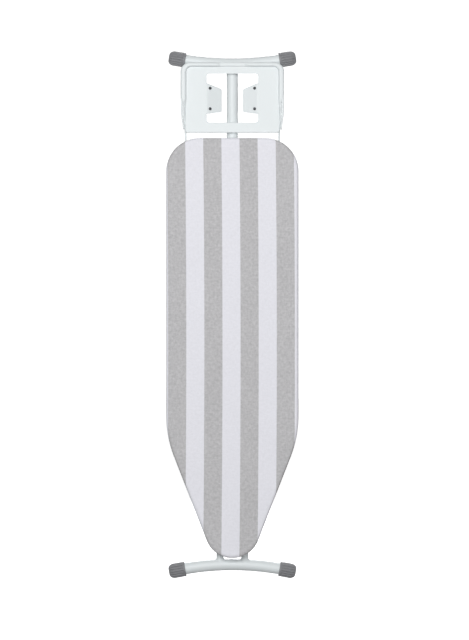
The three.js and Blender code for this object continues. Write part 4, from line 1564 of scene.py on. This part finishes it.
def tray_wing(hand):
    """The side wall that runs on outside each wire, folded double and rounded on top."""
    rings = []
    low = 47
    for y in (548, 548.6, 550, 553, 557, 562, 568, 575, 583, 592, 602, 612, 622, 632, 641):
        share = smoothstep(544, 606, y)
        inner = wire_x(y) + WIRE_R + 0.5
        outer = blend(147.2, 153.5, share)
        end = math.sqrt(min(1, max(0.04, (y - 547.8) / 3)))
        top = blend(low + 1, LIP_TOP - 1.6 * (1 - share), end)
        mid = (inner + outer) / 2
        half = (outer - inner) / 2 * blend(0.7, 1, end)
        outline = [
            (-half, low + 0.6),
            (-half, top - 1.6),
            (-half * 0.82, top - 0.6),
            (-half * 0.4, top - 0.1),
            (half * 0.3, top),
            (half * 0.78, top - 0.5),
            (half, top - 1.9),
            (half, low + 0.6),
            (half - 0.6, low),
            (0.6 - half, low),
        ]
        rings.append([(hand * (mid + a), y, z) for a, z in outline])
    return loft(rings, caps=True)


def build_iron_tray():
    """The pressed iron rest: floor, lip, window, flaps and the walls beside the wires."""
    tray = piece("tray", tray_sheet(), "iron_holder", "white_paint", ["iron_tray"], sharp=60,
                 faced=False)
    flaps = piece("tray_flaps", Form(tray_flap(-1), tray_flap(1)), "iron_holder", "white_paint",
                  sharp=60, faced=False)
    for obj in (tray, flaps):
        steel = obj.modifiers.new("steel", "SOLIDIFY")
        steel.thickness = SHEET * MM
        steel.offset = 0
        soften = obj.modifiers.new("softened_edges", "BEVEL")
        soften.width = 0.3 * MM
        soften.segments = 2
        soften.limit_method = "ANGLE"
        soften.angle_limit = math.radians(50)
    walls = Form(tray_wing(-1), tray_wing(1))
    piece("tray_walls", walls, "iron_holder", "white_paint", sharp=50)


def build_tray_studs():
    """The four rubber studs on the flaps."""
    for side, hand in SIDES:
        for place in ("near", "far"):
            node = f"tray_stud_{side}_{place}"
            centre = Span(node).centre()
            up = Vector((-hand * math.sin(FLAP_ANGLE), 0, math.cos(FLAP_ANGLE)))
            base = centre - up * 1.5
            profile = [(0, 0), (4.1, 0), (4.5, 0.4), (4.4, 1.1), (3.7, 2.0), (2.4, 2.7), (0, 3)]
            form = turned(profile, base, up, 36)
            form.add(turned([(0, -3.2), (1.6, -3.2), (1.9, -2.6), (1.9, 0), (0, 0)], base, up, 24))
            piece(f"stud_{side}_{place}", form, "iron_holder", "dark_rubber", [node])


def build_tray_wires():
    """The two wires from the tray's lip, down under the board, to their hooked ends."""
    for side, hand in SIDES:
        path = flowing([(hand * x, y, z) for x, y, z in WIRE_LINE], 8)
        form = swept(path, WIRE_R, 0, 24)
        form.add(welded([(hand * 143.6, 626, 56.6), (hand * 143.6, 636, 56.9)], 1.6))
        piece(f"wire_{side}", form, "iron_holder", "white_paint", [f"tray_wire_{side}"])


# ------------------------------------------------------------------ stage


def stage_piece(name, form, paper, glow):
    """A part of the stage in pale paper that glows a little, so that it stays even and bright."""
    mesh = bpy.data.meshes.new(name)
    mesh.from_pydata(form.points, [], form.faces)
    mesh.shade_smooth()
    obj = bpy.data.objects.new(name, mesh)
    bpy.context.scene.collection.objects.link(obj)
    shade = Shade(f"{name}_paper", Roughness=0.95, Specular_IOR_Level=0.1)
    fibre = shade.noise(shade.place(), 40, 4)
    shade.set(Base_Color=shade.mix(fibre, tint(paper, 0.99), tint(paper, 1.0)))
    shade.set(Emission_Color=(1, 1, 1), Emission_Strength=glow)
    mesh.materials.append(shade.material)
    return obj


def build_stage():
    """The camera, the pale floor and backdrop, and the soft studio light."""
    look = bpy.context.scene.board_stage
    low, high = (Vector(corner) for corner in CAD_BOX)
    centre = (low + high) / 2
    data = bpy.data.cameras.new("camera")
    data.lens = look.lens
    data.sensor_width = 36
    camera = bpy.data.objects.new("camera", data)
    aim = centre + Vector((look.aim_side, 0, look.aim_up))
    away = look.frame_height * look.lens / data.sensor_width
    camera.location = (aim.x, -away - 0.02, aim.z)
    camera.rotation_euler = (math.pi / 2, 0, 0)
    bpy.context.scene.collection.objects.link(camera)
    bpy.context.scene.camera = camera

    floor = Form()
    reach = look.room
    floor.points = [(-reach, -reach, 0), (reach, -reach, 0), (reach, reach, 0), (-reach, reach, 0)]
    floor.faces = [(0, 1, 2, 3)]
    ground = stage_piece("floor", floor, look.paper, look.floor_glow)
    rings = []
    for k in range(13):
        rise = math.pi / 2 * k / 12
        turns = [2 * math.pi * i / 48 for i in range(48)]
        r = reach * math.cos(rise)
        up = reach * math.sin(rise)
        rings.append([(r * math.cos(turn), r * math.sin(turn), up - 0.01) for turn in turns])
    dome = stage_piece("backdrop", loft(rings), look.paper, look.backdrop_glow)
    for obj in (ground, dome):
        obj.visible_diffuse = False
    dome.visible_shadow = False

    world = bpy.data.worlds.new("studio")
    world.use_nodes = True
    world.node_tree.nodes["Background"].inputs["Color"].default_value = (1, 1, 1, 1)
    world.node_tree.nodes["Background"].inputs["Strength"].default_value = look.ambient
    bpy.context.scene.world = world
    lamps = (
        ("key_softbox", (-1.0, -4.8, 2.3), 2.4, look.key),
        ("fill_softbox", (1.4, -4.8, 0.3), 2.6, look.fill),
        ("back_softbox", (0.6, 3.6, 2.4), 2.6, look.back),
    )
    for name, place, size, power in lamps:
        data = bpy.data.lights.new(name, "AREA")
        data.size = size
        data.energy = power
        lamp = bpy.data.objects.new(name, data)
        lamp.location = place
        lamp.rotation_euler = (centre - Vector(place)).to_track_quat("-Z", "Y").to_euler()
        bpy.context.scene.collection.objects.link(lamp)
    bpy.context.scene.view_settings.view_transform = "Standard"


# ------------------------------------------------------------------ settings


def colour(name, description, default):
    """A colour setting."""
    return bpy.props.FloatVectorProperty(
        name=name, description=description, default=default, subtype="COLOR", size=3, min=0, max=1
    )


def length(name, description, default):
    """A length setting, in metres."""
    return bpy.props.FloatProperty(
        name=name, description=description, default=default, subtype="DISTANCE", unit="LENGTH"
    )


def number(name, description, default):
    """A plain number setting."""
    return bpy.props.FloatProperty(name=name, description=description, default=default, min=0)


class BoardCoverSettings(bpy.types.PropertyGroup):
    """Sizes and colours of the cover and pad."""

    stripe_width: length("Stripe width", "Width of one stripe", 0.0537)
    stripe_offset: length("Stripe offset", "How far the middle stripe lies off centre", -0.0060)
    stripe_bow: length("Stripe bow", "How far the stripes lean out at mid-board", 0.0035)
    yarn: length("Yarn", "Thickness of one yarn", 0.0007)
    grey: colour("Grey", "Colour of the dark stripes", (0.485, 0.48, 0.49))
    white: colour("White", "Colour of the light stripes", (0.76, 0.76, 0.81))
    felt: colour("Felt", "Colour of the pad", (0.78, 0.76, 0.71))


class BoardFrameSettings(bpy.types.PropertyGroup):
    """Colours of the steel and plastic parts."""

    paint: colour("Paint", "Colour of the legs and iron rest", (0.69, 0.73, 0.74))
    under_paint: colour("Under paint", "Colour of the parts under the cover", (0.66, 0.69, 0.72))
    zinc: colour("Zinc", "Colour of the plated steel", (0.62, 0.63, 0.65))
    plastic: colour("Plastic", "Colour of the caps and mouldings", (0.185, 0.188, 0.198))
    rubber: colour("Rubber", "Colour of the studs", (0.035, 0.037, 0.042))


class BoardStageSettings(bpy.types.PropertyGroup):
    """Camera, floor and light."""

    lens: number("Lens", "Focal length in millimetres", 200)
    room: length("Room", "How far the floor and backdrop reach", 24.0)
    frame_height: length("Frame height", "Height of the view at the board", 1.9008)
    aim_side: length("Aim sideways", "How far right of the middle the camera aims", 0.0063)
    aim_up: length("Aim up", "How far above the middle the camera aims", -0.016)
    paper: colour("Paper", "Colour of the floor and backdrop", (0.96, 0.96, 0.96))
    floor_glow: number("Floor glow", "Brightness that the floor adds itself", 0.78)
    backdrop_glow: number("Backdrop glow", "Brightness that the backdrop adds itself", 1.0)
    ambient: number("Ambient", "Strength of the even light", 0.22)
    key: number("Key light", "Power of the light on the left, in watts", 168)
    fill: number("Fill light", "Power of the light on the right, in watts", 88)
    back: number("Back light", "Power of the light behind, in watts", 95)


# ------------------------------------------------------------------ operators and panel


def operator(name, label, build):
    """An operator that builds one piece or group of like pieces."""

    def execute(self, context):
        build()
        return {"FINISHED"}

    members = {
        "__doc__": build.__doc__,
        "bl_idname": f"ironing_board.{name}",
        "bl_label": label,
        "execute": execute,
    }
    return type(f"IRONING_BOARD_OT_{name}", (bpy.types.Operator,), members)


STEPS = (
    ("stage", "Camera, floor and light", build_stage),
    ("cover", "Cover", build_cover),
    ("pad", "Pad", build_pad),
    ("panel", "Panel", build_panel),
    ("rim", "Rim", build_rim),
    ("braces", "Braces", build_braces),
    ("slide_rail", "Slide rail", build_slide_rail),
    ("leg_hinge", "Leg hinge", build_leg_hinge),
    ("storage_clip", "Storage clip", build_storage_clip),
    ("wire_guides", "Wire guides", build_wire_guides),
    ("outer_leg", "Outer leg", build_outer_leg),
    ("inner_leg", "Inner leg", build_inner_leg),
    ("foot_caps", "Foot caps", build_foot_caps),
    ("cross_joint", "Cross joint", build_cross_joint),
    ("carriage", "Carriage", build_carriage),
    ("height_lock", "Height lock", build_height_lock),
    ("iron_tray", "Iron rest", build_iron_tray),
    ("tray_studs", "Studs", build_tray_studs),
    ("tray_wires", "Wires", build_tray_wires),
)
OPERATORS = tuple(operator(*step) for step in STEPS)


class IRONING_BOARD_PT_pieces(bpy.types.Panel):
    """Lists the steps that build the board."""

    bl_idname = "IRONING_BOARD_PT_pieces"
    bl_label = "Folded ironing board"
    bl_space_type = "VIEW_3D"
    bl_region_type = "UI"
    bl_category = "Ironing board"

    def draw(self, context):
        for made in OPERATORS:
            self.layout.operator(made.bl_idname)
        for group in ("board_cover", "board_frame", "board_stage"):
            box = self.layout.box()
            settings = getattr(context.scene, group)
            for name in type(settings).__annotations__:
                box.prop(settings, name)


SETTINGS = {
    "board_cover": BoardCoverSettings,
    "board_frame": BoardFrameSettings,
    "board_stage": BoardStageSettings,
}


def register():
    """Registers the settings, the operators and the panel."""
    for name, group in SETTINGS.items():
        bpy.utils.register_class(group)
        setattr(bpy.types.Scene, name, bpy.props.PointerProperty(type=group))
    for made in (*OPERATORS, IRONING_BOARD_PT_pieces):
        bpy.utils.register_class(made)


def unregister():
    """Takes them all out again."""
    for made in (IRONING_BOARD_PT_pieces, *reversed(OPERATORS)):
        bpy.utils.unregister_class(made)
    for name, group in SETTINGS.items():
        delattr(bpy.types.Scene, name)
        bpy.utils.unregister_class(group)


def main():
    """Builds every piece in order and writes the sizes before and after."""
    register()
    for name, _, _ in STEPS:
        getattr(bpy.ops.ironing_board, name)()


if __name__ == "__main__":
    main()
